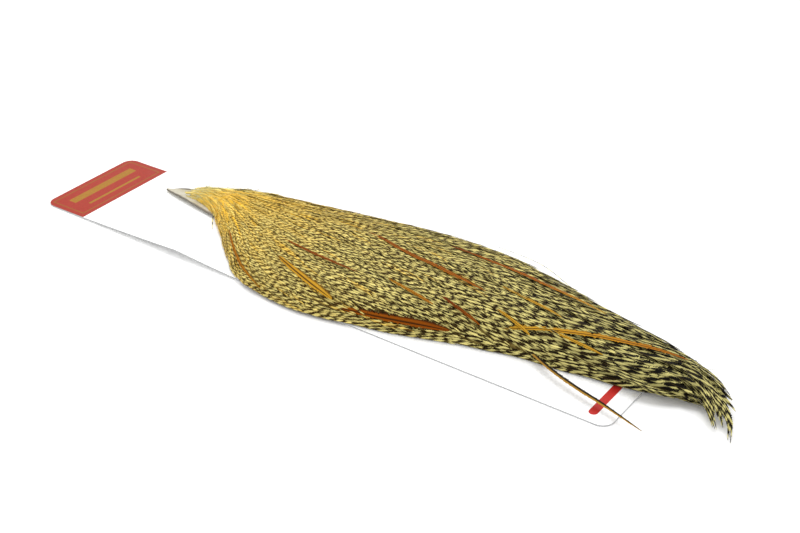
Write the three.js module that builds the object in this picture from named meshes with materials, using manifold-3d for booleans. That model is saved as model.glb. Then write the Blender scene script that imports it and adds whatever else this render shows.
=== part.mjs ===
// A rooster's half neck cape: the dried skin with its hackles, lying along a narrow backing card.
// Millimetres, +Z up. The head end points to -X and the long hackle tips to +X.
// The origin is the centre of the card's underside.

import * as THREE from "three";
import { mergeVertices } from "three/addons/utils/BufferGeometryUtils.js";
import Module from "manifold-3d";

const wasm = await Module();
wasm.setup();

// Card
const CARD_LENGTH = 340;
const CARD_WIDTH = 64;
const CARD_THICKNESS = 0.6;
const CARD_CORNER_RADIUS = 6;
const CREASE_X = -75; // the card is creased upwards across this line
const CREASE_LIFT = 3; // height of its underside at the crease
const FLAT_START_X = -12; // from here to its foot the card lies flat
const CREASE_POWER = 1.7; // how sharply the card rises towards the crease
const CREASE_STEPS = 6;
const CORNER_STEPS = 6;

// Space between pieces that lie on or in each other
const GAP = 0.35;

// Skin: stations from the pointed head end to the shoulder, each [x, y, half width, edge curl]
const SKIN_STATIONS = [
  [-127, 16.5, 0.6, 0.2],
  [-118, 16.2, 3.6, 1.2],
  [-108, 15.6, 6.2, 1.6],
  [-98, 15, 8, 1.2],
  [-80, 14, 11, 0.4],
  [CREASE_X, 13.7, 12.2, 0.3],
  [-50, 12, 19, 0],
  [-10, 10, 24, 0],
  [20, 10, 14, 0],
];
const SKIN_THICKNESS = 1.2;

// Plumage: stations along the mass of hackles, each
// [x, y, half width on the near side, half width on the far side, height of the crest, underside]
const PLUMAGE_STATIONS = [
  [-114, 15.5, 3, 4, 3, 0.95],
  [-98, 16.5, 5, 9, 7.5, 0.95],
  [-80, 14.5, 11, 18, 12, 0.95],
  [-60, 12, 24, 27, 15, 0.95],
  [-30, 9.5, 43, 36, 17.5, 0.95],
  [5, 9, 47, 43, 19.5, 0.95],
  [40, 10, 41, 47, 20.5, 0.95],
  [75, 13, 33, 44.5, 19.5, 0.95],
  [110, 15, 26, 34, 17.5, 0.95],
  [140, 15.5, 22.5, 25, 15, 1.2],
  [165, 15.5, 19, 18, 12, 1.8],
  [184, 14, 14, 12.5, 9.5, 2.4],
  [198, 8.5, 10, 9.5, 8, 2],
  [208, 1, 7, 7, 6, 1.2],
  [216, -8, 4, 4, 3, 0.6],
];
const PLUMAGE_LAST = PLUMAGE_STATIONS.length - 1;
const CREST_POWER = 2.2; // the section is a flattened arch
const CREST_ROUNDING = 0.62;
const BODY_END = 12.6; // the mass ends here, and single locks run on to their tips
const BODY_RINGS = 36;
const BODY_POINTS = 12;
const SLOPE_STEP = 0.02; // step over which the surface's slope is taken

// Locks: rows of overlapping hackle tips, each [station of the tips, locks in the row]
const LOCK_ROWS = [
  [2.1, 4],
  [3.2, 6],
  [4.3, 8],
  [5.4, 8],
  [6.5, 8],
  [7.6, 8],
  [8.7, 7],
  [9.8, 6],
  [10.9, 5],
];
const LOCK_REACH = 1.7; // stations from a lock's root to its tip
const LOCK_STAGGER = 0.35; // every other lock of a row ends this much further on
const LOCK_EDGE = 0.96; // the outermost locks lie just inside the plumage's edge
const LOCK_SPREAD = 0.62; // half width of a lock as a share of its place in the row
const LOCK_SUNK = 0.8; // depth of a lock's root under the surface
const LOCK_RISE = 1.9; // climb from root to tip
const LOCK_RIDGE = 0.7; // height of its quill over its edges
const LOCK_KEEL = 2; // depth of its underside

// Tail locks: the longest hackles, curling past the end, each [place across, station of the tip]
const TAIL_LOCKS = [
  [-0.85, 13.2],
  [-0.5, 13.45],
  [-0.2, 13.3],
  [0.1, 13.75],
  [0.45, 14],
  [0.8, 13.6],
];
const TAIL_LOCK_START = 11.3;
const TAIL_LOCK_HALF_WIDTH = 2.4;

// Russet hackles that lie on top, each [station and place of the root, of the tip, half width]
const RUSSET_HACKLES = [
  [4.65, -0.7, 5.5, -0.88, 2.6],
  [4.6, -0.45, 5.6, -0.55, 1.4],
  [5.7, 0.03, 7.3, -0.32, 2.2],
  [6.2, 0.38, 8.95, 0.28, 2.2],
  [6, -0.93, 7.1, -0.93, 2.8],
  [6.8, -0.6, 7.45, -0.82, 1.7],
  [8.55, -0.55, 10.9, 0.15, 2.4],
];
const RUSSET_TOP = 1.1; // height of its quill over the plumage
const RUSSET_EDGE = 0.5;
const RUSSET_BED = 0.5; // depth of its underside in the plumage
const RUSSET_BED_STRETCH = 1.08; // its bed runs on a little past its tip

// Stray hackle: it leaves the plumage low on the near side and runs out over the card's foot
const STRAY_PATH = [
  [110, -3, 5.6],
  [128, -12, 4.8],
  [145, -18, 4.6],
  [163, -22.5, 4.2],
  [184, -28, 3],
];
const STRAY_HALF_WIDTH = 2.1;
const STRAY_HALF_THICKNESS = 0.5;

// Width of a hackle along its length, as shares of its widest place, from root to tip
const HACKLE_TAPER = [
  [0, 0.35],
  [0.2, 0.85],
  [0.45, 1],
  [0.7, 0.8],
  [0.88, 0.45],
];

const MATERIALS = {
  card: new THREE.MeshStandardMaterial({ color: 0xf4f4f2, roughness: 0.45, metalness: 0 }),
  skin: new THREE.MeshStandardMaterial({ color: 0xb9b2a0, roughness: 0.6, metalness: 0 }),
  plumage: new THREE.MeshStandardMaterial({ color: 0xa8966a, roughness: 0.7, metalness: 0 }),
  russet: new THREE.MeshStandardMaterial({ color: 0x8e4a1c, roughness: 0.55, metalness: 0 }),
  stray: new THREE.MeshStandardMaterial({ color: 0x4a3a1c, roughness: 0.55, metalness: 0 }),
};

// Height of the card's underside above the table
function cardLift(x) {
  const start = x < CREASE_X ? -CARD_LENGTH / 2 : FLAT_START_X;
  const share = (x - start) / (CREASE_X - start);
  return CREASE_LIFT * Math.max(0, share) ** CREASE_POWER;
}

// A closed solid through rings of points that run anticlockwise seen from its end.
// A ring of one point is a pointed end, and any other end ring is closed by a fan.
function loft(rings) {
  const positions = rings.flat().flatMap((p) => [p.x, p.y, p.z]);
  const starts = rings.map((_, i) => rings.slice(0, i).reduce((n, r) => n + r.length, 0));
  const index = [];
  for (let i = 0; i + 1 < rings.length; i++) {
    const sides = Math.max(rings[i].length, rings[i + 1].length);
    for (let j = 0; j < sides; j++) {
      const k = (j + 1) % sides;
      const [a, b] = [j, k].map((n) => starts[i] + (rings[i].length === 1 ? 0 : n));
      const [c, d] = [j, k].map((n) => starts[i + 1] + (rings[i + 1].length === 1 ? 0 : n));
      if (a !== b) index.push(a, b, d);
      if (c !== d) index.push(a, d, c);
    }
  }
  const last = rings.length - 1;
  for (let j = 1; j + 1 < rings[0].length; j++) index.push(starts[0], starts[0] + j + 1, starts[0] + j);
  for (let j = 1; j + 1 < rings[last].length; j++) {
    index.push(starts[last], starts[last] + j, starts[last] + j + 1);
  }
  const geometry = new THREE.BufferGeometry();
  geometry.setAttribute("position", new THREE.Float32BufferAttribute(positions, 3));
  geometry.setIndex(index);
  return geometry;
}

// A geometry as a solid that can be joined and cut
function solid(geometry) {
  const bare = geometry.clone();
  bare.deleteAttribute("normal");
  bare.deleteAttribute("uv");
  const merged = mergeVertices(bare);
  return new wasm.Manifold(
    new wasm.Mesh({
      numProp: 3,
      vertProperties: merged.attributes.position.array,
      triVerts: new Uint32Array(merged.index.array),
    }),
  );
}

// The largest body of a solid, as a geometry
function geometryOf(manifold) {
  const bodies = manifold.decompose().sort((a, b) => b.volume() - a.volume());
  const mesh = bodies[0].getMesh();
  const geometry = new THREE.BufferGeometry();
  geometry.setAttribute("position", new THREE.Float32BufferAttribute(mesh.vertProperties, 3));
  geometry.setIndex([...mesh.triVerts]);
  return geometry;
}

function named(name, geometry, material) {
  const flat = geometry.toNonIndexed();
  flat.computeVertexNormals();
  const mesh = new THREE.Mesh(flat, material);
  mesh.name = name;
  return mesh;
}

// The creased strip that the card is cut from. A margin makes the larger body that clears it.
function cardStrip(margin = 0) {
  const half = CARD_LENGTH / 2;
  const along = [];
  for (let i = 0; i <= CREASE_STEPS; i++) {
    along.push(THREE.MathUtils.lerp(-half, CREASE_X, i / CREASE_STEPS));
  }
  for (let i = 1; i <= CREASE_STEPS; i++) {
    along.push(THREE.MathUtils.lerp(CREASE_X, FLAT_START_X, i / CREASE_STEPS));
  }
  along.push(half);
  const under = along.map((x) => new THREE.Vector2(x, cardLift(x) - margin));
  const top = CARD_THICKNESS + margin;
  const over = along.map((x) => new THREE.Vector2(x, cardLift(x) + top)).reverse();
  const depth = CARD_WIDTH + 2 * margin;
  const strip = new THREE.ExtrudeGeometry(new THREE.Shape([...under, ...over]), {
    depth,
    bevelEnabled: false,
  });
  return strip.rotateX(Math.PI / 2).translate(0, depth / 2, 0);
}

// The card, trimmed to its round-cornered outline
function makeCard() {
  const trimHeight = 3 * (CREASE_LIFT + CARD_THICKNESS);
  const trim = new THREE.ExtrudeGeometry(cardOutline(), {
    depth: trimHeight,
    bevelEnabled: false,
    curveSegments: CORNER_STEPS,
  });
  trim.translate(0, 0, -trimHeight / 3);
  return geometryOf(solid(cardStrip()).intersect(solid(trim)));
}

function cardOutline() {
  const [x, y] = [CARD_LENGTH / 2, CARD_WIDTH / 2];
  const r = CARD_CORNER_RADIUS;
  const outline = new THREE.Shape();
  outline.absarc(x - r, y - r, r, 0, Math.PI / 2);
  outline.absarc(-x + r, y - r, r, Math.PI / 2, Math.PI);
  outline.absarc(-x + r, -y + r, r, Math.PI, 1.5 * Math.PI);
  outline.absarc(x - r, -y + r, r, 1.5 * Math.PI, 2 * Math.PI);
  return outline;
}

// The skin: a thin strip that widens from its point, with its edges curled up near the head.
// A margin makes the larger body that cuts its bed in the plumage.
function makeSkin(margin = 0) {
  const rings = SKIN_STATIONS.map(([x, y, halfWidth, curl]) => {
    const bottom = cardLift(x) + CARD_THICKNESS + GAP - margin;
    const top = bottom + SKIN_THICKNESS + 2 * margin;
    const reach = halfWidth + margin;
    return [
      new THREE.Vector3(x, y - reach, bottom + curl),
      new THREE.Vector3(x, y, bottom),
      new THREE.Vector3(x, y + reach, bottom + curl),
      new THREE.Vector3(x, y + reach, top + curl),
      new THREE.Vector3(x, y, top),
      new THREE.Vector3(x, y - reach, top + curl),
    ];
  });
  return loft(rings);
}

const spine = new THREE.CatmullRomCurve3(
  PLUMAGE_STATIONS.map(([x, y, , , , under]) => new THREE.Vector3(x, y, under)),
  false,
  "catmullrom",
);
const girth = new THREE.CatmullRomCurve3(
  PLUMAGE_STATIONS.map(([, , near, far, crest]) => new THREE.Vector3(near, far, crest)),
  false,
  "catmullrom",
);

// A point of the plumage's surface: station along it, place across it from -1 (near) to 1 (far)
function plumagePoint(station, across) {
  const share = station / PLUMAGE_LAST;
  const centre = spine.getPoint(share);
  const heading = spine.getTangent(share);
  const size = girth.getPoint(share);
  const reach = across * (across < 0 ? size.x : size.y);
  const length = Math.hypot(heading.x, heading.y);
  const arch = (1 - Math.min(1, Math.abs(across)) ** CREST_POWER) ** CREST_ROUNDING;
  return new THREE.Vector3(
    centre.x - (heading.y / length) * reach,
    centre.y + (heading.x / length) * reach,
    centre.z + cardLift(centre.x) + size.z * arch,
  );
}

// The directions at a point of the plumage's surface: sideways along it, and out of it
function plumageDirections(station, across) {
  const edge = LOCK_EDGE - SLOPE_STEP;
  const place = THREE.MathUtils.clamp(across, -edge, edge);
  const along = plumagePoint(Math.min(station + SLOPE_STEP, PLUMAGE_LAST), place).sub(
    plumagePoint(station - SLOPE_STEP, place),
  );
  const side = plumagePoint(station, place + SLOPE_STEP).sub(
    plumagePoint(station, place - SLOPE_STEP),
  );
  const out = along.cross(side).normalize();
  return { side: side.normalize(), out };
}

// The mass of plumage, flat underneath and arched on top
function makeBody() {
  const rings = [];
  for (let i = 0; i <= BODY_RINGS; i++) {
    const station = (BODY_END * i) / BODY_RINGS;
    const ring = [];
    for (let j = 0; j <= BODY_POINTS; j++) {
      const across = Math.sin((Math.PI / 2) * (1 - (2 * j) / BODY_POINTS));
      ring.push(plumagePoint(station, across));
    }
    rings.push(ring);
  }
  return loft(rings);
}

// A hackle on the plumage from root to tip, with a four-sided section: edges, quill and underside.
// Heights are above the plumage's surface, at the root and at the tip.
function hackleOnPlumage({ root, tip, halfWidth, edge, ridge, keel }) {
  const at = (share) => {
    const station = THREE.MathUtils.lerp(root[0], tip[0], share);
    const across = THREE.MathUtils.lerp(root[1], tip[1], share);
    return { point: plumagePoint(station, across), ...plumageDirections(station, across) };
  };
  const rings = HACKLE_TAPER.map(([share, taper]) => {
    const { point, side, out } = at(share);
    const height = THREE.MathUtils.lerp(edge[0], edge[1], share);
    const offset = (sideways, up) =>
      point.clone().addScaledVector(side, sideways).addScaledVector(out, up);
    return [
      offset(-halfWidth * taper, height),
      offset(0, height - keel),
      offset(halfWidth * taper, height),
      offset(0, height + ridge),
    ];
  });
  const end = at(1);
  rings.push([end.point.clone().addScaledVector(end.out, edge[1])]);
  return loft(rings);
}

function makeLocks() {
  const locks = [];
  for (const [tipStation, count] of LOCK_ROWS) {
    for (let i = 0; i < count; i++) {
      const across = LOCK_EDGE * ((2 * i) / (count - 1) - 1);
      const size = girth.getPoint(tipStation / PLUMAGE_LAST);
      const stagger = i % 2 ? LOCK_STAGGER : 0;
      locks.push(
        hackleOnPlumage({
          root: [tipStation + stagger - LOCK_REACH, across],
          tip: [tipStation + stagger, across],
          halfWidth: (LOCK_SPREAD * (size.x + size.y)) / count,
          edge: [-LOCK_SUNK, LOCK_RISE - LOCK_SUNK],
          ridge: LOCK_RIDGE,
          keel: LOCK_KEEL,
        }),
      );
    }
  }
  for (const [across, tipStation] of TAIL_LOCKS) {
    locks.push(
      hackleOnPlumage({
        root: [TAIL_LOCK_START, across],
        tip: [tipStation, across],
        halfWidth: TAIL_LOCK_HALF_WIDTH,
        edge: [-LOCK_SUNK, 0],
        ridge: LOCK_RIDGE,
        keel: LOCK_KEEL,
      }),
    );
  }
  return locks;
}

// A russet hackle lying on the plumage. A margin makes the larger body that cuts its bed.
function makeRusset([rootStation, rootAcross, tipStation, tipAcross, halfWidth], margin = 0) {
  const stretch = margin > 0 ? RUSSET_BED_STRETCH : 1;
  return hackleOnPlumage({
    root: [rootStation, rootAcross],
    tip: [
      THREE.MathUtils.lerp(rootStation, tipStation, stretch),
      THREE.MathUtils.lerp(rootAcross, tipAcross, stretch),
    ],
    halfWidth: halfWidth + 2 * margin,
    edge: [RUSSET_EDGE, RUSSET_EDGE],
    ridge: RUSSET_TOP - RUSSET_EDGE + margin,
    keel: RUSSET_BED + RUSSET_EDGE + margin,
  });
}

// The stray hackle, with a flat four-sided section along its path
function makeStray(margin = 0) {
  const path = new THREE.CatmullRomCurve3(STRAY_PATH.map((p) => new THREE.Vector3(...p)));
  const up = new THREE.Vector3(0, 0, 1);
  const rings = HACKLE_TAPER.map(([share, taper]) => {
    const point = path.getPointAt(share);
    const side = up.clone().cross(path.getTangentAt(share)).normalize();
    const reach = STRAY_HALF_WIDTH * taper + margin;
    const height = STRAY_HALF_THICKNESS + margin;
    return [
      point.clone().addScaledVector(side, reach),
      point.clone().addScaledVector(up, height),
      point.clone().addScaledVector(side, -reach),
      point.clone().addScaledVector(up, -height),
    ];
  });
  rings.push([path.getPointAt(1)]);
  return loft(rings);
}

// The plumage: the mass with its locks, clear of the table, the card, the skin and the loose hackles
function makePlumage() {
  let plumage = solid(makeBody());
  for (const lock of makeLocks()) plumage = plumage.add(solid(lock));
  plumage = plumage.trimByPlane([0, 0, 1], GAP);
  for (const piece of [cardStrip(GAP), makeSkin(GAP), makeStray(GAP)]) {
    plumage = plumage.subtract(solid(piece));
  }
  for (const hackle of RUSSET_HACKLES) plumage = plumage.subtract(solid(makeRusset(hackle, GAP)));
  return geometryOf(plumage);
}

const cape = new THREE.Group();
cape.add(named("backing_card", makeCard(), MATERIALS.card));
cape.add(named("neck_skin", makeSkin(), MATERIALS.skin));
cape.add(named("hackle_plumage", makePlumage(), MATERIALS.plumage));
RUSSET_HACKLES.forEach((hackle, i) => {
  cape.add(named(`russet_hackle_${i + 1}`, makeRusset(hackle), MATERIALS.russet));
});
cape.add(named("stray_hackle", makeStray(), MATERIALS.stray));

export default cape;
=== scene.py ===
"""Looks of a rooster's half neck cape that lies along its backing card.

Lengths in this file are in millimetres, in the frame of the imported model: the head end points to -X,
the long hackle tips to +X, and the card's underside lies on z = 0. MM turns them into Blender's metres.
"""

import logging
import math
from dataclasses import dataclass, field, fields
from enum import Enum
from typing import Callable, Sequence

import bpy
import numpy as np
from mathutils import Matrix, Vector


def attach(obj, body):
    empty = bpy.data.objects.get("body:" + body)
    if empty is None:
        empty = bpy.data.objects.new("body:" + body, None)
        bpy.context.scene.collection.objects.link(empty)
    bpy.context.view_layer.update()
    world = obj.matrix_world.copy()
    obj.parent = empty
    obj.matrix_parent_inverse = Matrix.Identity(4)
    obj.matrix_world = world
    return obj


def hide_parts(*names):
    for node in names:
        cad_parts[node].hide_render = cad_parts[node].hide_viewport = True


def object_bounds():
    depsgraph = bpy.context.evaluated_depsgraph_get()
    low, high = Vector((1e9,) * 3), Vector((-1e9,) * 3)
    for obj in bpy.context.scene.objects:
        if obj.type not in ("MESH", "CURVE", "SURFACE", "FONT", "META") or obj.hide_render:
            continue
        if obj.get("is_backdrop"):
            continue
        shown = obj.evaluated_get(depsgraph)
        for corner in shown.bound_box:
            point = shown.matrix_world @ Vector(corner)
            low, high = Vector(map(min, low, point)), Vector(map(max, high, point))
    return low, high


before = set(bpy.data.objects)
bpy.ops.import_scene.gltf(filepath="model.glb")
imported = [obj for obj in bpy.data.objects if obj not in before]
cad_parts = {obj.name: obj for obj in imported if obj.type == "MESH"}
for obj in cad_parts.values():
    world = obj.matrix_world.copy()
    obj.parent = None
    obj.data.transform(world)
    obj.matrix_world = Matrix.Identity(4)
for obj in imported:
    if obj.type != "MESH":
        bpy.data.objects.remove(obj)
CAD_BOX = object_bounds()

LOG = logging.getLogger("cape")
MM = 0.001
BODY = "root"
TWO_PI = 2.0 * math.pi
UP = (0.0, 0.0, 1.0)
NOISE_SPAN = (0.3, 0.7)
BARB_SCALE = 6.0
BARB_DETAIL = 1.0
BARB_RELIEF = (0.35, 0.00012)
CURVE_STEPS = 40

Socket = bpy.types.NodeSocket
Value = float | Socket


class Slot(Enum):
    """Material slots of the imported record."""

    CARD = "card"
    SKIN = "skin"
    PLUMAGE = "barred_plumage"
    RUSSET = "russet_hackle"
    STRAY = "stray_hackle"


def linear(red: int, green: int, blue: int) -> tuple[float, float, float, float]:
    """Turns a colour as seen on a screen into the shader's linear light.

    Args:
        red: Red, 0 to 255.
        green: Green, 0 to 255.
        blue: Blue, 0 to 255.

    Returns:
        Linear red, green, blue and an alpha of 1.
    """
    shares = [channel / 255.0 for channel in (red, green, blue)]
    curve = [s / 12.92 if s <= 0.04045 else ((s + 0.055) / 1.055) ** 2.4 for s in shares]
    return (*curve, 1.0)


# Shader helpers


class Nodes:
    """A short way to write a material's node tree."""

    def __init__(self, name: str) -> None:
        """Starts a material with an empty tree, an output and a surface shader.

        Args:
            name: The material's name.
        """
        self.material = bpy.data.materials.new(name)
        self.material.use_nodes = True
        self.tree = self.material.node_tree
        self.tree.nodes.clear()
        output = self.tree.nodes.new("ShaderNodeOutputMaterial")
        self.shader = self.tree.nodes.new("ShaderNodeBsdfPrincipled")
        self.tree.links.new(self.shader.outputs["BSDF"], output.inputs["Surface"])

    def put(self, socket: Socket, value: Value | Sequence[float]) -> None:
        """Links a socket to another one, or sets its constant.

        Args:
            socket: The socket.
            value: What it is linked or set to.
        """
        if isinstance(value, bpy.types.NodeSocket):
            self.tree.links.new(value, socket)
        else:
            socket.default_value = value

    def attribute(self, name: str) -> Socket:
        """Gives a mesh attribute's number.

        Args:
            name: The attribute's name.

        Returns:
            The number.
        """
        node = self.tree.nodes.new("ShaderNodeAttribute")
        node.attribute_name = name
        return node.outputs["Fac"]

    def place(self) -> Socket:
        """Gives the place on the object, in metres."""
        return self.tree.nodes.new("ShaderNodeTexCoord").outputs["Object"]

    def axes(self) -> tuple[Socket, Socket, Socket]:
        """Gives the place on the object as three numbers, in metres.

        Returns:
            The places along X, Y and Z.
        """
        node = self.tree.nodes.new("ShaderNodeSeparateXYZ")
        self.put(node.inputs[0], self.place())
        return node.outputs[0], node.outputs[1], node.outputs[2]

    def math(self, operation: str, first: Value, second: Value = 0.0) -> Socket:
        """Gives the result of a Math node.

        Args:
            operation: The node's operation.
            first: Its first number.
            second: Its second number.

        Returns:
            The result.
        """
        node = self.tree.nodes.new("ShaderNodeMath")
        node.operation = operation
        self.put(node.inputs[0], first)
        self.put(node.inputs[1], second)
        return node.outputs[0]

    def ramp(self, value: Value, low: float, high: float, start: float = 0.0, end: float = 1.0) -> Socket:
        """Maps a number smoothly from low..high to start..end.

        Args:
            value: The number to map.
            low: Where the ramp begins.
            high: Where it ends.
            start: The result up to low.
            end: The result from high on.

        Returns:
            The mapped number.
        """
        node = self.tree.nodes.new("ShaderNodeMapRange")
        node.interpolation_type = "SMOOTHSTEP"
        for socket, number in zip(node.inputs, (value, low, high, start, end)):
            self.put(socket, number)
        return node.outputs[0]

    def noise(self, scale: float, detail: float = 2.0, where: Value | None = None) -> Socket:
        """Gives a noise value over the object, or along one number.

        Args:
            scale: Waves per metre, or per unit of the number.
            detail: Octaves of finer noise.
            where: A number to run along in place of the object's own place.

        Returns:
            A number around 0.5.
        """
        node = self.tree.nodes.new("ShaderNodeTexNoise")
        if where is None:
            self.put(node.inputs["Vector"], self.place())
        else:
            node.noise_dimensions = "1D"
            self.put(node.inputs["W"], where)
        node.inputs["Scale"].default_value = scale
        node.inputs["Detail"].default_value = detail
        return node.outputs["Fac"]

    def mix(self, share: Value, first: Socket | Sequence[float], second: Socket | Sequence[float]) -> Socket:
        """Mixes two colours by a share of the second."""
        return self._blend("MIX", share, first, second)

    def tint(self, colour: Socket, value: Value) -> Socket:
        """Multiplies a colour by a number."""
        return self._blend("MULTIPLY", 1.0, colour, value)

    def _blend(self, kind: str, share: Value, first: Socket | Sequence[float], second: Value) -> Socket:
        """Gives the result of a Mix node on colours.

        Args:
            kind: How it blends.
            share: The second colour's share.
            first: The first colour.
            second: The second colour, or one number for its channels.

        Returns:
            The blended colour.
        """
        node = self.tree.nodes.new("ShaderNodeMix")
        node.data_type = "RGBA"
        node.blend_type = kind
        self.put(node.inputs[0], share)
        self.put(node.inputs[6], first)
        self.put(node.inputs[7], second)
        return node.outputs[2]

    def bump(self, height: Socket, strength: float, distance: float) -> None:
        """Adds relief to the surface.

        Args:
            height: The relief, 0 to 1.
            strength: Its share.
            distance: Its depth in metres.
        """
        node = self.tree.nodes.new("ShaderNodeBump")
        node.inputs["Strength"].default_value = strength
        node.inputs["Distance"].default_value = distance
        self.put(node.inputs["Height"], height)
        self.put(self.shader.inputs["Normal"], node.outputs["Normal"])

    def barbs(self) -> Socket:
        """Gives fine noise from barb to barb, which is raised as relief too.

        Returns:
            A number around 0.5.
        """
        barbs = self.noise(BARB_SCALE, BARB_DETAIL, self.attribute("barb"))
        self.bump(barbs, *BARB_RELIEF)
        return barbs

    def around_zero(self, noise: Socket, amount: float) -> Socket:
        """Gives a noise value that runs evenly above and below 0."""
        return self.math("MULTIPLY", self.math("SUBTRACT", noise, 0.5), amount)

    def finish(
        self, colour: Socket | Sequence[float], roughness: Value, specular: float
    ) -> bpy.types.Material:
        """Sets the shader's main sockets and gives the finished material.

        Args:
            colour: The base colour.
            roughness: The roughness.
            specular: The strength of the shine.

        Returns:
            The material.
        """
        self.put(self.shader.inputs["Base Color"], colour)
        self.put(self.shader.inputs["Roughness"], roughness)
        self.shader.inputs["Specular IOR Level"].default_value = specular
        return self.material


# Finishes


@dataclass(frozen=True)
class BarredFinish:
    """Cream hackles crossed by brown-black bars, turning to plain golden buff at the crown."""

    cream: tuple = linear(229, 218, 138)
    gold: tuple = linear(250, 200, 66)
    bar: tuple = linear(9, 5, 0)
    gold_bar: tuple = linear(116, 80, 10)
    fluff: tuple = linear(240, 232, 196)
    quill: tuple = linear(104, 82, 30)
    bar_edge: float = 0.25
    patches: float = 320.0
    wobble: float = 2.6
    ragged: float = 3.0
    fluff_from: float = -0.6
    tone_gain: float = 0.22
    tone_middle: float = 0.95
    quill_edge: tuple[float, float] = (0.03, 0.12)
    quill_share: float = 0.55
    # painted shade: each vane darkens towards its near edge, standing in for the shade between overlapping
    # hackles
    near_span: tuple[float, float] = (-1.0, -0.1)
    near_shade: float = 0.7
    barb_tint: tuple[float, float] = (0.82, 1.1)
    roughness: float = 0.5
    specular: float = 0.07

    def build(self) -> bpy.types.Material:
        """Makes the material.

        Returns:
            The material.
        """
        nodes = Nodes("barred_hackle")
        across = nodes.attribute("across")
        gold = nodes.attribute("gold")
        barbs = nodes.barbs()
        tone = nodes.math("MULTIPLY", nodes.attribute("tone"), self.tone_gain)
        pale = nodes.mix(gold, self.cream, self.gold)
        pale = nodes.mix(nodes.ramp(gold, self.fluff_from, 0.0, 1.0, 0.0), pale, self.fluff)
        pale = nodes.tint(pale, nodes.math("ADD", tone, self.tone_middle))
        deep = nodes.mix(gold, self.bar, self.gold_bar)
        colour = nodes.mix(self._bars(nodes, barbs), pale, deep)
        quill = nodes.ramp(nodes.math("ABSOLUTE", across), *self.quill_edge, self.quill_share, 0.0)
        colour = nodes.mix(quill, colour, self.quill)
        # painted shade: darkens each vane towards its near edge, standing in for the shade between
        # overlapping hackles
        colour = nodes.tint(colour, nodes.ramp(across, *self.near_span, self.near_shade, 1.0))
        colour = nodes.tint(colour, nodes.ramp(barbs, *NOISE_SPAN, *self.barb_tint))
        return nodes.finish(colour, self.roughness, self.specular)

    def _bars(self, nodes: Nodes, barbs: Socket) -> Socket:
        """Gives how dark the bars are, from the number that each barb carries.

        Args:
            nodes: The material's nodes.
            barbs: Fine noise from barb to barb, which frays the bars' edges.

        Returns:
            0 between the bars, up to 1 on them.
        """
        frayed = nodes.math(
            "ADD",
            nodes.around_zero(nodes.noise(self.patches), self.wobble),
            nodes.around_zero(barbs, self.ragged),
        )
        turns = nodes.math("MULTIPLY", nodes.attribute("bar"), TWO_PI)
        wave = nodes.math("SINE", nodes.math("ADD", turns, frayed))
        contrast = nodes.attribute("contrast")
        wave = nodes.math("ADD", wave, nodes.math("SUBTRACT", contrast, 1.0))
        dark = nodes.ramp(wave, -self.bar_edge, self.bar_edge)
        return nodes.math("MULTIPLY", dark, nodes.math("MINIMUM", contrast, 1.0))


@dataclass(frozen=True)
class WarmFinish:
    """Russet, ginger and ochre hackles: dark red at one end of the scale, ochre at the other."""

    name: str
    deep: tuple = linear(112, 44, 0)
    middle: tuple = linear(166, 92, 2)
    light: tuple = linear(204, 154, 40)
    quill: tuple = linear(44, 20, 2)
    middle_at: float = 0.5
    shade_from: tuple[float, float] = (0.45, 0.85)
    quill_edge: tuple[float, float] = (0.06, 0.34)
    quill_share: float = 0.9
    barb_tint: tuple[float, float] = (0.6, 1.2)
    roughness: float = 0.5
    specular: float = 0.06

    def build(self) -> bpy.types.Material:
        """Makes the material.

        Returns:
            The material.
        """
        nodes = Nodes(self.name)
        warm = nodes.attribute("gold")
        across = nodes.attribute("across")
        low = nodes.mix(nodes.ramp(warm, 0.0, self.middle_at), self.deep, self.middle)
        colour = nodes.mix(nodes.ramp(warm, self.middle_at, 1.0), low, self.light)
        shade = nodes.math("MULTIPLY", nodes.ramp(across, *self.shade_from), nodes.attribute("contrast"))
        colour = nodes.mix(shade, colour, self.quill)
        quill = nodes.ramp(nodes.math("ABSOLUTE", across), *self.quill_edge, self.quill_share, 0.0)
        colour = nodes.mix(quill, colour, self.quill)
        colour = nodes.tint(colour, nodes.ramp(nodes.barbs(), *NOISE_SPAN, *self.barb_tint))
        return nodes.finish(colour, self.roughness, self.specular)


@dataclass(frozen=True)
class DownFinish:
    """Dull under-down that shows only in the gaps between the hackles."""

    tip: tuple = linear(150, 130, 70)
    base: tuple = linear(78, 60, 22)
    gold: tuple = linear(190, 140, 52)
    speckle: tuple[float, float] = (260.0, 3.0)
    speckle_span: tuple[float, float] = (0.35, 0.65)
    crown_end: tuple[float, float] = (-85.0, -45.0)
    crown_share: float = 0.9
    tufts: tuple[float, float] = (900.0, 2.0)
    relief: tuple[float, float] = (0.6, 0.0005)
    roughness: float = 0.9
    specular: float = 0.1

    def build(self) -> bpy.types.Material:
        """Makes the material.

        Returns:
            The material.
        """
        nodes = Nodes("under_down")
        speckle = nodes.ramp(nodes.noise(*self.speckle), *self.speckle_span)
        colour = nodes.mix(speckle, self.base, self.tip)
        along, _, _ = nodes.axes()
        start, end = (x * MM for x in self.crown_end)
        colour = nodes.mix(nodes.ramp(along, start, end, self.crown_share, 0.0), colour, self.gold)
        nodes.bump(nodes.noise(*self.tufts), *self.relief)
        return nodes.finish(colour, self.roughness, self.specular)


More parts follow.
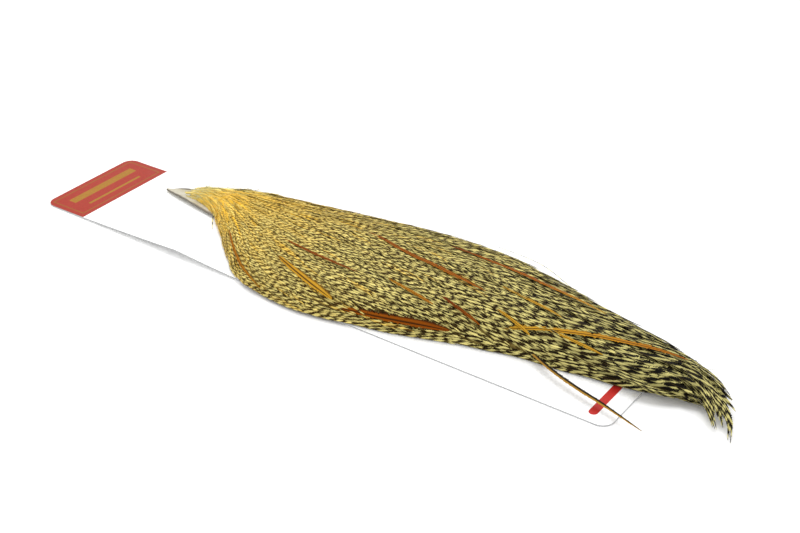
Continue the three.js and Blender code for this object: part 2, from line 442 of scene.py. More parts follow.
@dataclass(frozen=True)
class SkinFinish:
    """Dried skin: grey-beige parchment with darker rolled edges."""

    flat: tuple = linear(192, 187, 170)
    edge: tuple = linear(112, 105, 94)
    stain: tuple = linear(172, 162, 134)
    stains: tuple[float, float] = (180.0, 4.0)
    stain_span: tuple[float, float] = (0.4, 0.7)
    fray: tuple[float, float] = (300.0, 2.0)
    fray_share: float = 0.2
    edge_span: tuple[float, float] = (0.72, 1.05)
    grain: tuple[float, float] = (700.0, 4.0)
    relief: tuple[float, float] = (0.5, 0.0004)
    roughness: float = 0.5
    specular: float = 0.35

    def build(self) -> bpy.types.Material:
        """Makes the material.

        Returns:
            The material.
        """
        nodes = Nodes("dried_skin")
        across = nodes.math("ABSOLUTE", nodes.attribute("across"))
        stains = nodes.ramp(nodes.noise(*self.stains), *self.stain_span)
        colour = nodes.mix(stains, self.flat, self.stain)
        uneven = nodes.math("ADD", across, nodes.math("MULTIPLY", nodes.noise(*self.fray), self.fray_share))
        colour = nodes.mix(nodes.ramp(uneven, *self.edge_span), colour, self.edge)
        nodes.bump(nodes.noise(*self.grain), *self.relief)
        return nodes.finish(colour, self.roughness, self.specular)


@dataclass(frozen=True)
class CardFinish:
    """Coated white card with a plain red head panel and a red foot bar, printed on its upper face."""

    white: tuple = linear(247, 247, 246)
    # painted shade: the cut edge is coloured grey, standing in for the shade that falls on it
    edge: tuple = linear(176, 177, 178)
    panel: tuple = linear(158, 58, 46)
    line: tuple = linear(146, 92, 44)
    stripe: tuple = linear(158, 112, 42)
    bar: tuple = linear(180, 40, 34)
    panel_end: float = -141.4
    line_inset: float = 3.2
    line_width: float = 0.7
    stripes: tuple = ((-159.0, 5.0, 23.0), (-150.0, 1.6, 19.0))
    bar_x: float = 159.5
    bar_y: tuple[float, float] = (-25.0, 30.0)
    bar_half_width: float = 2.1
    printed_from: float = 0.7
    rim_below: float = 0.6
    fade: tuple[float, float] = (900.0, 3.0)
    fade_span: tuple[float, float] = (0.35, 0.65)
    fade_tint: tuple[float, float] = (0.94, 1.04)
    grain: tuple[float, float] = (2500.0, 2.0)
    relief: tuple[float, float] = (0.04, 0.0001)
    sheen: float = 120.0
    roughness: tuple[float, float] = (0.4, 0.5)
    specular: float = 0.12

    def build(self, length: float, width: float) -> bpy.types.Material:
        """Makes the material.

        Args:
            length: The card's length.
            width: The card's width.

        Returns:
            The material.
        """
        nodes = Nodes("printed_card")
        along, sideways, _ = nodes.axes()
        upper = self._upper_face(nodes)
        fade = nodes.ramp(nodes.noise(*self.fade), *self.fade_span, *self.fade_tint)
        panel = nodes.math("LESS_THAN", along, self.panel_end * MM)
        outline = self._panel_line(nodes, along, sideways, length, width)
        bar = self._foot_bar(nodes, along, sideways)
        colour = nodes.mix(nodes.math("MULTIPLY", panel, upper), self.white, self.panel)
        colour = nodes.mix(nodes.math("MULTIPLY", outline, upper), colour, self.line)
        for stripe in self.stripes:
            inside = nodes.math("MULTIPLY", self._stripe(nodes, along, sideways, stripe), upper)
            colour = nodes.mix(inside, colour, self.stripe)
        colour = nodes.mix(nodes.math("MULTIPLY", bar, upper), colour, self.bar)
        # painted shade: the cut edge turns grey, standing in for the shade that falls on it
        colour = nodes.mix(self._rim(nodes), colour, self.edge)
        colour = nodes.tint(colour, fade)
        nodes.bump(nodes.noise(*self.grain), *self.relief)
        roughness = nodes.ramp(nodes.noise(self.sheen), *NOISE_SPAN, *self.roughness)
        return nodes.finish(colour, roughness, self.specular)

    def _stripe(self, nodes: Nodes, along: Socket, sideways: Socket, stripe: tuple) -> Socket:
        """Gives 1 on a plain stripe across the panel, from its place, width and half length.

        Args:
            nodes: The material's nodes.
            along: The place along the card.
            sideways: The place across the card.
            stripe: Its place along the card, its width and its half length.

        Returns:
            1 on the stripe, 0 elsewhere.
        """
        place, width, half = stripe
        x = nodes.math("ABSOLUTE", nodes.math("SUBTRACT", along, place * MM))
        y = nodes.math("ABSOLUTE", sideways)
        inside = nodes.math("LESS_THAN", x, width / 2 * MM)
        return nodes.math("MULTIPLY", inside, nodes.math("LESS_THAN", y, half * MM))

    def _normal_height(self, nodes: Nodes) -> Socket:
        """Gives how far the face looks upwards, -1 to 1.

        Args:
            nodes: The material's nodes.

        Returns:
            The upward part of its normal.
        """
        node = nodes.tree.nodes.new("ShaderNodeSeparateXYZ")
        geometry = nodes.tree.nodes.new("ShaderNodeNewGeometry")
        nodes.put(node.inputs[0], geometry.outputs["True Normal"])
        return node.outputs[2]

    def _upper_face(self, nodes: Nodes) -> Socket:
        """Gives 1 on the printed face."""
        return nodes.math("GREATER_THAN", self._normal_height(nodes), self.printed_from)

    def _rim(self, nodes: Nodes) -> Socket:
        """Gives 1 on the cut edge of the card, which is painted grey as its shade."""
        return nodes.math("LESS_THAN", nodes.math("ABSOLUTE", self._normal_height(nodes)), self.rim_below)

    def _panel_line(
        self, nodes: Nodes, along: Socket, sideways: Socket, length: float, width: float
    ) -> Socket:
        """Gives 1 on the thin line inside the head panel.

        Args:
            nodes: The material's nodes.
            along: The place along the card.
            sideways: The place across the card.
            length: The card's length.
            width: The card's width.

        Returns:
            1 on the line, 0 elsewhere.
        """
        low, high = -length / 2 + self.line_inset, self.panel_end - self.line_inset
        middle, half = (low + high) / 2, (high - low) / 2
        x = nodes.math("ABSOLUTE", nodes.math("SUBTRACT", along, middle * MM))
        y = nodes.math("ABSOLUTE", sideways)
        reach = nodes.math(
            "MAXIMUM",
            nodes.math("SUBTRACT", x, half * MM),
            nodes.math("SUBTRACT", y, (width / 2 - self.line_inset) * MM),
        )
        return nodes.math("LESS_THAN", nodes.math("ABSOLUTE", reach), self.line_width / 2 * MM)

    def _foot_bar(self, nodes: Nodes, along: Socket, sideways: Socket) -> Socket:
        """Gives 1 on the foot bar, which has round ends.

        Args:
            nodes: The material's nodes.
            along: The place along the card.
            sideways: The place across the card.

        Returns:
            1 on the bar, 0 elsewhere.
        """
        low, high = self.bar_y
        x = nodes.math("SUBTRACT", along, self.bar_x * MM)
        inside = nodes.math("MINIMUM", nodes.math("MAXIMUM", sideways, low * MM), high * MM)
        y = nodes.math("SUBTRACT", sideways, inside)
        squared = nodes.math("ADD", nodes.math("MULTIPLY", x, x), nodes.math("MULTIPLY", y, y))
        return nodes.math("LESS_THAN", nodes.math("SQRT", squared), self.bar_half_width * MM)


@dataclass(frozen=True)
class FloorFinish:
    """Plain pale studio floor."""

    white: tuple = linear(250, 250, 250)
    roughness: float = 0.8
    specular: float = 0.1

    def build(self) -> bpy.types.Material:
        """Makes the material.

        Returns:
            The material.
        """
        return Nodes("studio_floor").finish(self.white, self.roughness, self.specular)


# Pieces and meshes


def dress(piece: bpy.types.Object, material: bpy.types.Material, slot: Slot, *nodes: str) -> None:
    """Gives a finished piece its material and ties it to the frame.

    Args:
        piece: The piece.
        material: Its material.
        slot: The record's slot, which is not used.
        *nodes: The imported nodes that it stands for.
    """
    piece.data.materials.clear()
    piece.data.materials.append(material)
    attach(piece, BODY)
    slot.value
    if nodes:
        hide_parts(*nodes)
    LOG.info("%s: %d faces", piece.name, len(piece.data.polygons))


def deselect_all() -> None:
    """Leaves object mode with nothing selected."""
    if bpy.context.object and bpy.context.object.mode != "OBJECT":
        bpy.ops.object.mode_set(mode="OBJECT")
    bpy.ops.object.select_all(action="DESELECT")


def new_grid(name: str, columns: int, rows: int) -> bpy.types.Object:
    """Adds a flat grid from -1 to 1 on both sides, ready to be shaped.

    Args:
        name: The object's name.
        columns: Faces along X.
        rows: Faces along Y.

    Returns:
        The grid's object, at the origin.
    """
    deselect_all()
    bpy.ops.mesh.primitive_grid_add(x_subdivisions=columns, y_subdivisions=rows, size=2.0)
    piece = bpy.context.object
    piece.name = name
    piece.data.name = name
    return piece


def shape(piece: bpy.types.Object, form: Callable[[np.ndarray], np.ndarray]) -> None:
    """Moves every vertex of a piece.

    Args:
        piece: The piece.
        form: Turns the old places, in the piece's own numbers, into new ones in millimetres.
    """
    count = len(piece.data.vertices)
    flat = np.empty(count * 3)
    piece.data.vertices.foreach_get("co", flat)
    piece.data.vertices.foreach_set("co", (form(flat.reshape(count, 3)) * MM).ravel())
    piece.data.update()


def apply_modifier(piece: bpy.types.Object, kind: str, **settings: object) -> None:
    """Adds a modifier to a piece and applies it.

    Args:
        piece: The piece.
        kind: The modifier's type.
        **settings: Its settings.
    """
    deselect_all()
    bpy.context.view_layer.objects.active = piece
    piece.select_set(True)
    modifier = piece.modifiers.new(kind.lower(), kind)
    for name, value in settings.items():
        setattr(modifier, name, value)
    bpy.ops.object.modifier_apply(modifier=modifier.name)


def set_attribute(mesh: bpy.types.Mesh, name: str, values: np.ndarray) -> None:
    """Stores one number for each vertex of a mesh."""
    mesh.attributes.new(name, "FLOAT", "POINT").data.foreach_set("value", values.astype(np.float32))


# The card


@dataclass
class BackingCard:
    """The narrow card: round corners, and a crease that lifts it near the head end."""

    length: float = 340.0
    width: float = 64.0
    thickness: float = 0.6
    corner: float = 6.0
    crease_x: float = -75.0
    crease_lift: float = 3.0
    flat_start: float = -12.0
    crease_power: float = 1.7
    corner_cuts: int = 10
    rim: float = 0.12
    rim_cuts: int = 2
    first_cut: float = 8.0
    past_flat: float = 10.0
    cut_step: float = 3.0
    smooth_below: float = 30.0

    def lift(self, x: np.ndarray) -> np.ndarray:
        """Gives the height of the card's underside at places along it.

        Args:
            x: The places.

        Returns:
            The heights.
        """
        start = np.where(x < self.crease_x, -self.length / 2, self.flat_start)
        share = (x - start) / (self.crease_x - start)
        return self.crease_lift * np.maximum(0.0, share) ** self.crease_power

    def build(self) -> bpy.types.Object:
        """Models the card from a box with bevelled corners.

        Returns:
            The card's object.
        """
        deselect_all()
        bpy.ops.mesh.primitive_cube_add(size=1.0)
        card = bpy.context.object
        card.name = "creased_card"
        shape(card, lambda p: p * (self.length, self.width, self.thickness))
        self._round_corners(card)
        self._cut_across()
        shape(card, self._creased)
        bpy.ops.object.shade_smooth_by_angle(angle=math.radians(self.smooth_below))
        return card

    def _round_corners(self, card: bpy.types.Object) -> None:
        """Bevels the four upright edges, then softens the rims.

        Args:
            card: The card's object.
        """
        bpy.ops.object.mode_set(mode="EDIT")
        bpy.ops.mesh.select_mode(type="EDGE")
        bpy.ops.mesh.select_all(action="DESELECT")
        bpy.ops.object.mode_set(mode="OBJECT")
        vertices = card.data.vertices
        for edge in card.data.edges:
            a, b = (vertices[i].co for i in edge.vertices)
            edge.select = abs(a.z - b.z) > self.thickness * MM / 2
        bpy.ops.object.mode_set(mode="EDIT")
        bpy.ops.mesh.bevel(offset=self.corner * MM, segments=self.corner_cuts, affect="EDGES")
        bpy.ops.object.mode_set(mode="OBJECT")
        apply_modifier(card, "BEVEL", width=self.rim * MM, segments=self.rim_cuts, limit_method="ANGLE")

    def _cut_across(self) -> None:
        """Cuts the card across, so that it can follow its crease."""
        bpy.ops.object.mode_set(mode="EDIT")
        start, end = -self.length / 2 + self.first_cut, self.flat_start + self.past_flat
        for x in np.arange(start, end, self.cut_step):
            bpy.ops.mesh.select_all(action="SELECT")
            bpy.ops.mesh.bisect(plane_co=(x * MM, 0, 0), plane_no=(1, 0, 0))
        bpy.ops.object.mode_set(mode="OBJECT")

    def _creased(self, places: np.ndarray) -> np.ndarray:
        """Lifts the flat card along its crease.

        Args:
            places: The old ones, in metres.

        Returns:
            The new places, in millimetres.
        """
        places = places / MM
        places[:, 2] += self.thickness / 2 + self.lift(places[:, 0])
        return places


# The plumage's form


def run_through(points: Sequence[Sequence[float]], place: np.ndarray) -> tuple[np.ndarray, np.ndarray]:
    """Runs a smooth curve through points.

    Args:
        points: The points, any number of values each.
        place: Where to read the curve: 0 is the first point, 1 the second.

    Returns:
        The curve's values at each place, and how fast they change.
    """
    table = np.array(points, float)
    last = len(table) - 1
    table = np.vstack([2 * table[0] - table[1], table, 2 * table[-1] - table[-2]])
    index = np.clip(np.floor(place).astype(int), 0, last - 1)
    share = (place - index)[..., None]
    a, b, c, d = (table[index + k] for k in range(4))
    first, square, cube = c - a, 2 * a - 5 * b + 4 * c - d, 3 * b - a - 3 * c + d
    value = 0.5 * (2 * b + first * share + square * share**2 + cube * share**3)
    slope = 0.5 * (first + 2 * square * share + 3 * cube * share**2)
    return value, slope


def fade(value: np.ndarray, start: float, end: float) -> np.ndarray:
    """Gives a share that runs evenly from 0 at the start to 1 at the end, which may be the lower value."""
    return np.clip((value - start) / (end - start), 0.0, 1.0)


def travelled(line: np.ndarray) -> np.ndarray:
    """Gives how far along a line of points each of them is."""
    return np.concatenate([[0.0], np.cumsum(np.linalg.norm(np.diff(line, axis=0), axis=1))])


def unit(vectors: np.ndarray) -> np.ndarray:
    """Gives vectors of length 1."""
    return vectors / np.maximum(np.linalg.norm(vectors, axis=-1, keepdims=True), 1e-9)


@dataclass
class PlumageForm:
    """The mound that the hackles lie on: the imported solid's stations, a little lower at the crown.

    Each station has its place along and across, its half widths to the near and the far side, its height
    and how high its foot lies. A place on the mound is a station number, from 0 at the head to the
    last one at the tips, and a turn across the arch, from -1 at the near edge over the crest at 0 to 1.
    """

    card: BackingCard
    stations: tuple = (
        (-114, 15.5, 3, 4, 3, 0.95),
        (-98, 16.5, 5, 9, 7.5, 0.95),
        (-80, 14.5, 11, 18, 10.6, 0.95),
        (-60, 12, 24, 27, 13.9, 0.95),
        (-30, 9.5, 43, 36, 17.5, 0.95),
        (5, 9, 47, 43, 19.5, 0.95),
        (40, 10, 41, 47, 20.5, 0.95),
        (75, 13, 33, 44.5, 19.5, 0.95),
        (110, 15, 26, 34, 17.5, 0.95),
        (140, 15.5, 22.5, 25, 15, 1.2),
        (165, 15.5, 19, 18, 12, 1.8),
        (184, 14, 14, 12.5, 9.5, 2.4),
        (198, 8.5, 10, 9.5, 8, 2),
        (208, 1, 7, 7, 6, 1.2),
        (216, -8, 4, 4, 3, 0.6),
    )
    crest_power: float = 2.2
    crest_rounding: float = 0.62
    edge: float = 0.97
    step: float = 0.01

    def sizes(self, station: np.ndarray) -> tuple[np.ndarray, np.ndarray]:
        """Gives the six values at stations, and how fast each changes."""
        return run_through(self.stations, station)

    def turn(self, share: np.ndarray) -> np.ndarray:
        """Gives the turn across at a share of the half width."""
        return np.arcsin(share) * 2 / math.pi

    def point(self, station: np.ndarray, turn: np.ndarray) -> np.ndarray:
        """Gives points of the mound's surface.

        Args:
            station: Stations.
            turn: Turns across.

        Returns:
            The points.
        """
        value, slope = self.sizes(station)
        across = np.sin(turn * math.pi / 2)
        heading = slope[..., :2] / np.linalg.norm(slope[..., :2], axis=-1, keepdims=True)
        reach = across * np.where(across < 0, value[..., 2], value[..., 3])
        arch = (1 - np.minimum(1.0, np.abs(across)) ** self.crest_power) ** self.crest_rounding
        x = value[..., 0] - heading[..., 1] * reach
        y = value[..., 1] + heading[..., 0] * reach
        z = value[..., 5] + self.card.lift(value[..., 0]) + value[..., 4] * arch
        return np.stack([x, y, z], -1)

    def slopes(self, station: np.ndarray, turn: np.ndarray) -> tuple[np.ndarray, np.ndarray]:
        """Gives how the surface runs for each station along it and for each turn across it.

        Args:
            station: Stations.
            turn: Turns across.

        Returns:
            Both directions, in millimetres for a whole station and a whole turn.
        """
        limit = self.edge - self.step
        inside = np.clip(turn, -limit, limit)
        along = self.point(station + self.step, inside) - self.point(station - self.step, inside)
        side = self.point(station, inside + self.step) - self.point(station, inside - self.step)
        return along / (2 * self.step), side / (2 * self.step)

    def outward(self, station: np.ndarray, turn: np.ndarray) -> np.ndarray:
        """Gives the directions that point out of the surface."""
        along, side = self.slopes(station, turn)
        return unit(np.cross(along, side))


# Hackles


@dataclass
class HackleSet:
    """Hackles that share a number of barbs, one entry in each array for each hackle."""

    tips: np.ndarray
    length: np.ndarray
    half_width: np.ndarray
    taper: np.ndarray
    sink: np.ndarray
    raise_by: np.ndarray
    turn: np.ndarray
    roll: np.ndarray
    pitch: np.ndarray
    phase: np.ndarray
    gold: np.ndarray
    gold_root: np.ndarray
    tone: np.ndarray
    contrast: np.ndarray
    barbs: int

    @classmethod
    def plain(cls, tips: np.ndarray, barbs: int, **values: float | np.ndarray) -> "HackleSet":
        """Makes a set in which each value that isn't given is 0.

        Args:
            tips: Station and turn of each tip.
            barbs: Groups of barbs on each side.
            **values: One number for all, or one for each hackle.

        Returns:
            The set.
        """
        names = [entry.name for entry in fields(cls) if entry.name not in ("tips", "barbs")]
        arrays = {name: np.zeros(len(tips)) + values.get(name, 0.0) for name in names}
        return cls(tips=tips, barbs=barbs, **arrays)

    def __len__(self) -> int:
        """Gives the number of hackles."""
        return len(self.tips)

    def pick(self, chosen: np.ndarray) -> "HackleSet":
        """Gives the chosen hackles as a set of their own."""
        arrays = {name: value[chosen] for name, value in vars(self).items() if name != "barbs"}
        return HackleSet(barbs=self.barbs, **arrays)


@dataclass
class Quills:
    """Paths of quills from tip to root, with the directions across and out of each vane."""

    points: np.ndarray
    side: np.ndarray
    out: np.ndarray
    from_tip: np.ndarray

    @classmethod
    def along(cls, path: Sequence[Sequence[float]], barbs: int) -> "Quills":
        """Runs one quill through points in the air.

        Args:
            path: The points, from root to tip.
            barbs: Groups of barbs on each side.

        Returns:
            The quill.
        """
        places = np.linspace(0.0, len(path) - 1, CURVE_STEPS * len(path))
        fine, _ = run_through(np.array(path, float)[::-1], places)
        distance = travelled(fine)
        from_tip = np.linspace(0.0, distance[-1], barbs + 1)
        points = np.stack([np.interp(from_tip, distance, fine[:, k]) for k in range(3)], -1)
        heading = -np.gradient(points, axis=0)
        side = unit(np.cross(UP, heading))
        out = unit(np.cross(heading, side))
        return cls(points[None], side[None], out[None], from_tip[None])


@dataclass
class VaneMesh:
    """Arrays of joined vanes, ready to become one mesh."""

    vertices: list = field(default_factory=list)
    quads: list = field(default_factory=list)
    triangles: list = field(default_factory=list)
    charts: list = field(default_factory=list)
    numbers: dict = field(default_factory=dict)
    count: int = 0


@dataclass
class HackleMaker:
    """Turns quill paths into vanes: a quill with slanted groups of barbs on both sides.

    The far vane has the full half width and the near vane a share of it. A bar shear of 0 lays the bars
    along the barbs, and one of 1 lays them square across the quill.
    """

    card: BackingCard
    barb_reach: float = 3.0
    longest_reach: float = 0.8
    point_reach: float = 1.06
    notch: float = 0.84
    droop: float = 0.2
    bar_shear: tuple[float, float] = (0.4, 0.05)
    near_share: float = 0.16
    ragged: float = 0.14
    tip_width: float = 0.05
    tip_power: float = 0.7
    root_narrowing: float = 0.3
    clear: float = 0.2
    barb_offset: float = 40.0
    chart_shape: float = 0.09
    chart_half_width: float = 0.44
    chart_length: float = 0.96
    shared: tuple = ("tone", "contrast")

    def add(self, mesh: VaneMesh, hackles: HackleSet, quills: Quills, rng: np.random.Generator) -> None:
        """Adds hackles to a mesh.

        Args:
            mesh: The arrays to add to.
            hackles: The hackles.
            quills: Their quills.
            rng: Random numbers for the ragged edges.
        """
        count, stops = quills.from_tip.shape
        width = self._widths(hackles, quills.from_tip)
        reach = np.minimum(self.barb_reach * width, self.longest_reach * quills.from_tip)
        rows = np.arange(stops)
        middle = (rows[:-1] + rows[1:]) / 2
        ragged = 1 + self.ragged * rng.standard_normal((2, count, stops - 1))
        blocks = [quills.points]
        across = [np.zeros((count, stops))]
        roots = [np.broadcast_to(rows, (count, stops))]
        reaches = [np.zeros((count, stops))]
        for k, (sign, share) in enumerate(((-1.0, self.near_share), (1.0, 1.0))):
            side_width = width * share
            sheared = reach * self.bar_shear[k]
            blocks.append(self._edge(quills, hackles, rows, side_width * self.notch, reach, sign))
            point_width = at_rows(side_width, middle) * ragged[k]
            point_reach = at_rows(reach, middle) * self.point_reach
            blocks.append(self._edge(quills, hackles, middle, point_width, point_reach, sign))
            across += [np.full((count, stops), sign * self.notch), np.full((count, stops - 1), sign)]
            roots += [roots[0], np.broadcast_to(middle, (count, stops - 1))]
            reaches += [sheared, at_rows(sheared, middle)]
        self._store(mesh, hackles, quills, blocks, across, roots, reaches)

    def _widths(self, hackles: HackleSet, from_tip: np.ndarray) -> np.ndarray:
        """Gives the half width of each vane along its quill.

        Args:
            hackles: The hackles.
            from_tip: How far each stop is from the tip.

        Returns:
            A half width for each hackle and stop.
        """
        share = np.minimum(1.0, from_tip / hackles.taper[:, None])
        narrowing = 1 - self.root_narrowing * (from_tip / hackles.length[:, None]) ** 2
        widening = self.tip_width + (1 - self.tip_width) * share**self.tip_power
        return hackles.half_width[:, None] * widening * narrowing

    def _edge(
        self,
        quills: Quills,
        hackles: HackleSet,
        rows: np.ndarray,
        width: np.ndarray,
        reach: np.ndarray,
        sign: float,
    ) -> np.ndarray:
        """Gives the outer ends of the barbs on one side.

        Args:
            quills: The quills.
            hackles: Their hackles.
            rows: Where each barb leaves the quill, in stops from the tip.
            width: How far it reaches sideways.
            reach: How far it reaches towards the tip.
            sign: The side, -1 or 1.

        Returns:
            A point for each hackle and barb.
        """
        step = quills.from_tip[:, 1:2]
        stop = np.maximum(0.0, rows - reach / step)
        centre, side, out = (at_stops(a, stop) for a in (quills.points, quills.side, quills.out))
        drop = self.droop * width + sign * hackles.roll[:, None] * width
        return centre + sign * side * width[..., None] - out * drop[..., None]

    def _store(
        self,
        mesh: VaneMesh,
        hackles: HackleSet,
        quills: Quills,
        blocks: list[np.ndarray],
        across: list[np.ndarray],
        roots: list[np.ndarray],
        reaches: list[np.ndarray],
    ) -> None:
        """Puts the vertices, faces, charts and numbers of the vanes into the mesh's arrays.

        Args:
            mesh: The arrays to add to.
            hackles: The hackles.
            quills: Their quills.
            blocks: The vertices: the quill's, then each side's notches and barb points.
            across: Where each vertex lies across its vane, -1 to 1.
            roots: The stop at which its barb leaves the quill.
            reaches: How far the bars lean towards the tip there.
        """
        count, stops = quills.from_tip.shape
        vertices = self._settled(np.concatenate(blocks, 1))
        across_all, root_all, reach_all = (np.concatenate(a, 1) for a in (across, roots, reaches))
        step = quills.from_tip[:, 1:2]
        distance = root_all * step
        to_root = root_all / (stops - 1)
        numbers = {
            "bar": (distance - reach_all) / hackles.pitch[:, None] + hackles.phase[:, None],
            "barb": distance + self.barb_offset * hackles.phase[:, None],
            "across": across_all,
            "gold": hackles.gold[:, None] * (1 - to_root) + hackles.gold_root[:, None] * to_root,
        }
        for name in self.shared:
            numbers[name] = np.broadcast_to(getattr(hackles, name)[:, None], across_all.shape)
        per_hackle = vertices.shape[1]
        starts = mesh.count + np.arange(count)[:, None, None] * per_hackle
        quads, triangles = self._faces(stops)
        mesh.vertices.append(vertices.reshape(-1, 3))
        mesh.quads.append((starts + quads).reshape(-1, 4))
        mesh.triangles.append((starts + triangles).reshape(-1, 3))
        mesh.charts.extend(np.stack([across_all, to_root], -1))
        for name, values in numbers.items():
            mesh.numbers.setdefault(name, []).append(values.ravel())
        mesh.count += count * per_hackle

    def _settled(self, places: np.ndarray) -> np.ndarray:
        """Lifts what would reach into the card or the floor.

        Args:
            places: The places.

        Returns:
            The places, clear of both.
        """
        x, y, z = np.moveaxis(places, -1, 0)
        over_card = (np.abs(x) < self.card.length / 2) & (np.abs(y) < self.card.width / 2)
        ground = np.where(over_card, self.card.lift(x) + self.card.thickness, 0.0)
        return np.stack([x, y, np.maximum(z, ground + self.clear)], -1)

    def _faces(self, stops: int) -> tuple[np.ndarray, np.ndarray]:
        """Gives the faces of one vane: a quad and a pointed triangle for each group of barbs.

        Args:
            stops: Stops along the quill.

        Returns:
            The quads' and the triangles' vertices.
        """
        i = np.arange(stops - 1)
        quads, triangles = [], []
        for side in range(2):
            notch = stops + side * (2 * stops - 1)
            point = notch + stops
            quad = np.stack([i + 1, i, notch + i, notch + i + 1], -1)
            triangle = np.stack([notch + i + 1, notch + i, point + i], -1)
            quads.append(quad if side else quad[:, ::-1])
            triangles.append(triangle if side else triangle[:, ::-1])
        return np.concatenate(quads), np.concatenate(triangles)

    def piece(self, name: str, mesh: VaneMesh) -> bpy.types.Object:
        """Makes the object of a finished set of arrays.

        Args:
            name: The object's name.
            mesh: The arrays.

        Returns:
            The object.
        """
        vertices = np.concatenate(mesh.vertices) * MM
        quads = np.concatenate(mesh.quads)
        triangles = np.concatenate(mesh.triangles)
        loops = np.concatenate([quads.ravel(), triangles.ravel()])
        sizes = np.concatenate([np.full(len(quads), 4), np.full(len(triangles), 3)])
        data = bpy.data.meshes.new(name)
        data.vertices.add(len(vertices))
        data.vertices.foreach_set("co", vertices.ravel())
        data.loops.add(len(loops))
        data.loops.foreach_set("vertex_index", loops)
        data.polygons.add(len(sizes))
        data.polygons.foreach_set("loop_start", np.concatenate([[0], np.cumsum(sizes)[:-1]]))
        data.update(calc_edges=True)
        data.polygons.foreach_set("use_smooth", np.ones(len(sizes), bool))
        chart = data.uv_layers.new(name="OFBake")
        chart.data.foreach_set("uv", self._charts(mesh.charts)[loops].ravel())
        for key, values in mesh.numbers.items():
            set_attribute(data, key, np.concatenate(values))
        data.validate()
        piece = bpy.data.objects.new(name, data)
        bpy.context.scene.collection.objects.link(piece)
        return piece

    def _charts(self, charts: list[np.ndarray]) -> np.ndarray:
        """Lays each vane out flat in a cell of its own on the piece's map.

        Args:
            charts: For each vane, its vertices' places across and along it.

        Returns:
            A place on the map for each vertex.
        """
        rows = max(1, round(math.sqrt(len(charts) * self.chart_shape)))
        columns = math.ceil(len(charts) / rows)
        margin = (1 - self.chart_length) / 2
        laid = []
        for k, chart in enumerate(charts):
            u = (k % columns + 0.5 + self.chart_half_width * chart[:, 0]) / columns
            v = (k // columns + margin + self.chart_length * chart[:, 1]) / rows
            laid.append(np.stack([u, v], -1))
        return np.concatenate(laid)


def at_rows(values: np.ndarray, rows: np.ndarray) -> np.ndarray:
    """Reads values between stops that are the same for every hackle.

    Args:
        values: A value for each hackle and stop.
        rows: Where to read, in stops.

    Returns:
        The values there.
    """
    low = np.floor(rows).astype(int)
    share = rows - low
    return values[:, low] * (1 - share) + values[:, np.minimum(low + 1, values.shape[1] - 1)] * share


def at_stops(values: np.ndarray, stops: np.ndarray) -> np.ndarray:
    """Reads points or directions between stops that differ from hackle to hackle.

    Args:
        values: One for each hackle and stop.
        stops: Where to read, for each hackle.

    Returns:
        The points or directions there.
    """
    low = np.floor(stops).astype(int)
    high = np.minimum(low + 1, values.shape[1] - 1)
    share = (stops - low)[..., None]
    hackle = np.arange(len(values))[:, None]
    return values[hackle, low] * (1 - share) + values[hackle, high] * share


@dataclass
class Growth:
    """How the hackles change from the head to the tips: one value for each station listed."""

    station: tuple = (0.6, 1.5, 2.5, 3.5, 5.0, 7.0, 9.0, 10.5, 12.0, 13.5)
    half_width: tuple = (0.8, 0.95, 1.0, 1.05, 1.1, 1.25, 1.6, 2.1, 2.4, 2.2)
    exposure: tuple = (5.0, 5.0, 6.0, 7.5, 9.0, 11.0, 13.0, 15.0, 15.0, 13.0)
    spacing: tuple = (0.85, 0.85, 0.85, 0.85, 0.88, 0.95, 1.25, 1.7, 1.95, 1.9)
    length: tuple = (15.0, 18.0, 24.0, 32.0, 44.0, 54.0, 66.0, 80.0, 88.0, 92.0)
    layer: tuple = (0.2, 0.22, 0.25, 0.3, 0.38, 0.42, 0.45, 0.45, 0.45, 0.4)
    bar_pitch: tuple = (1.6, 2.2, 2.8, 3.7, 4.9, 6.0, 7.4, 9.0, 10.0, 10.0)
    gold: tuple = (0.6, 0.95, 0.9, 0.5, 0.25, 0.12, 0.05, 0.0, 0.0, 0.0)
    contrast: tuple = (0.0, 0.04, 0.5, 0.88, 1.0, 1.08, 1.25, 1.45, 1.5, 1.5)
    tone: tuple = (0.4, 0.3, 0.1, 0.0, 0.0, -0.35, -0.85, -1.25, -1.3, -1.3)

    def at(self, name: str, station: np.ndarray) -> np.ndarray:
        """Reads one of the values at stations."""
        return np.interp(station, self.station, getattr(self, name))


@dataclass(frozen=True)
class Spread:
    """How far hackles differ: the lowest and highest factor, or the middle and spread of an angle."""

    across: float = 0.42
    along: float = 0.6
    gold: tuple[float, float] = (0.6, 1.4)
    length: tuple[float, float] = (0.9, 1.1)
    half_width: tuple[float, float] = (0.8, 1.2)
    taper: tuple[float, float] = (1.1, 1.7)
    raise_by: float = 0.5
    turn: float = 0.05
    roll: tuple[float, float] = (-0.12, 0.15)
    pitch: tuple[float, float] = (0.8, 1.25)
    tone: tuple[float, float] = (0.5, 1.0)
    contrast: tuple[float, float] = (0.85, 1.1)


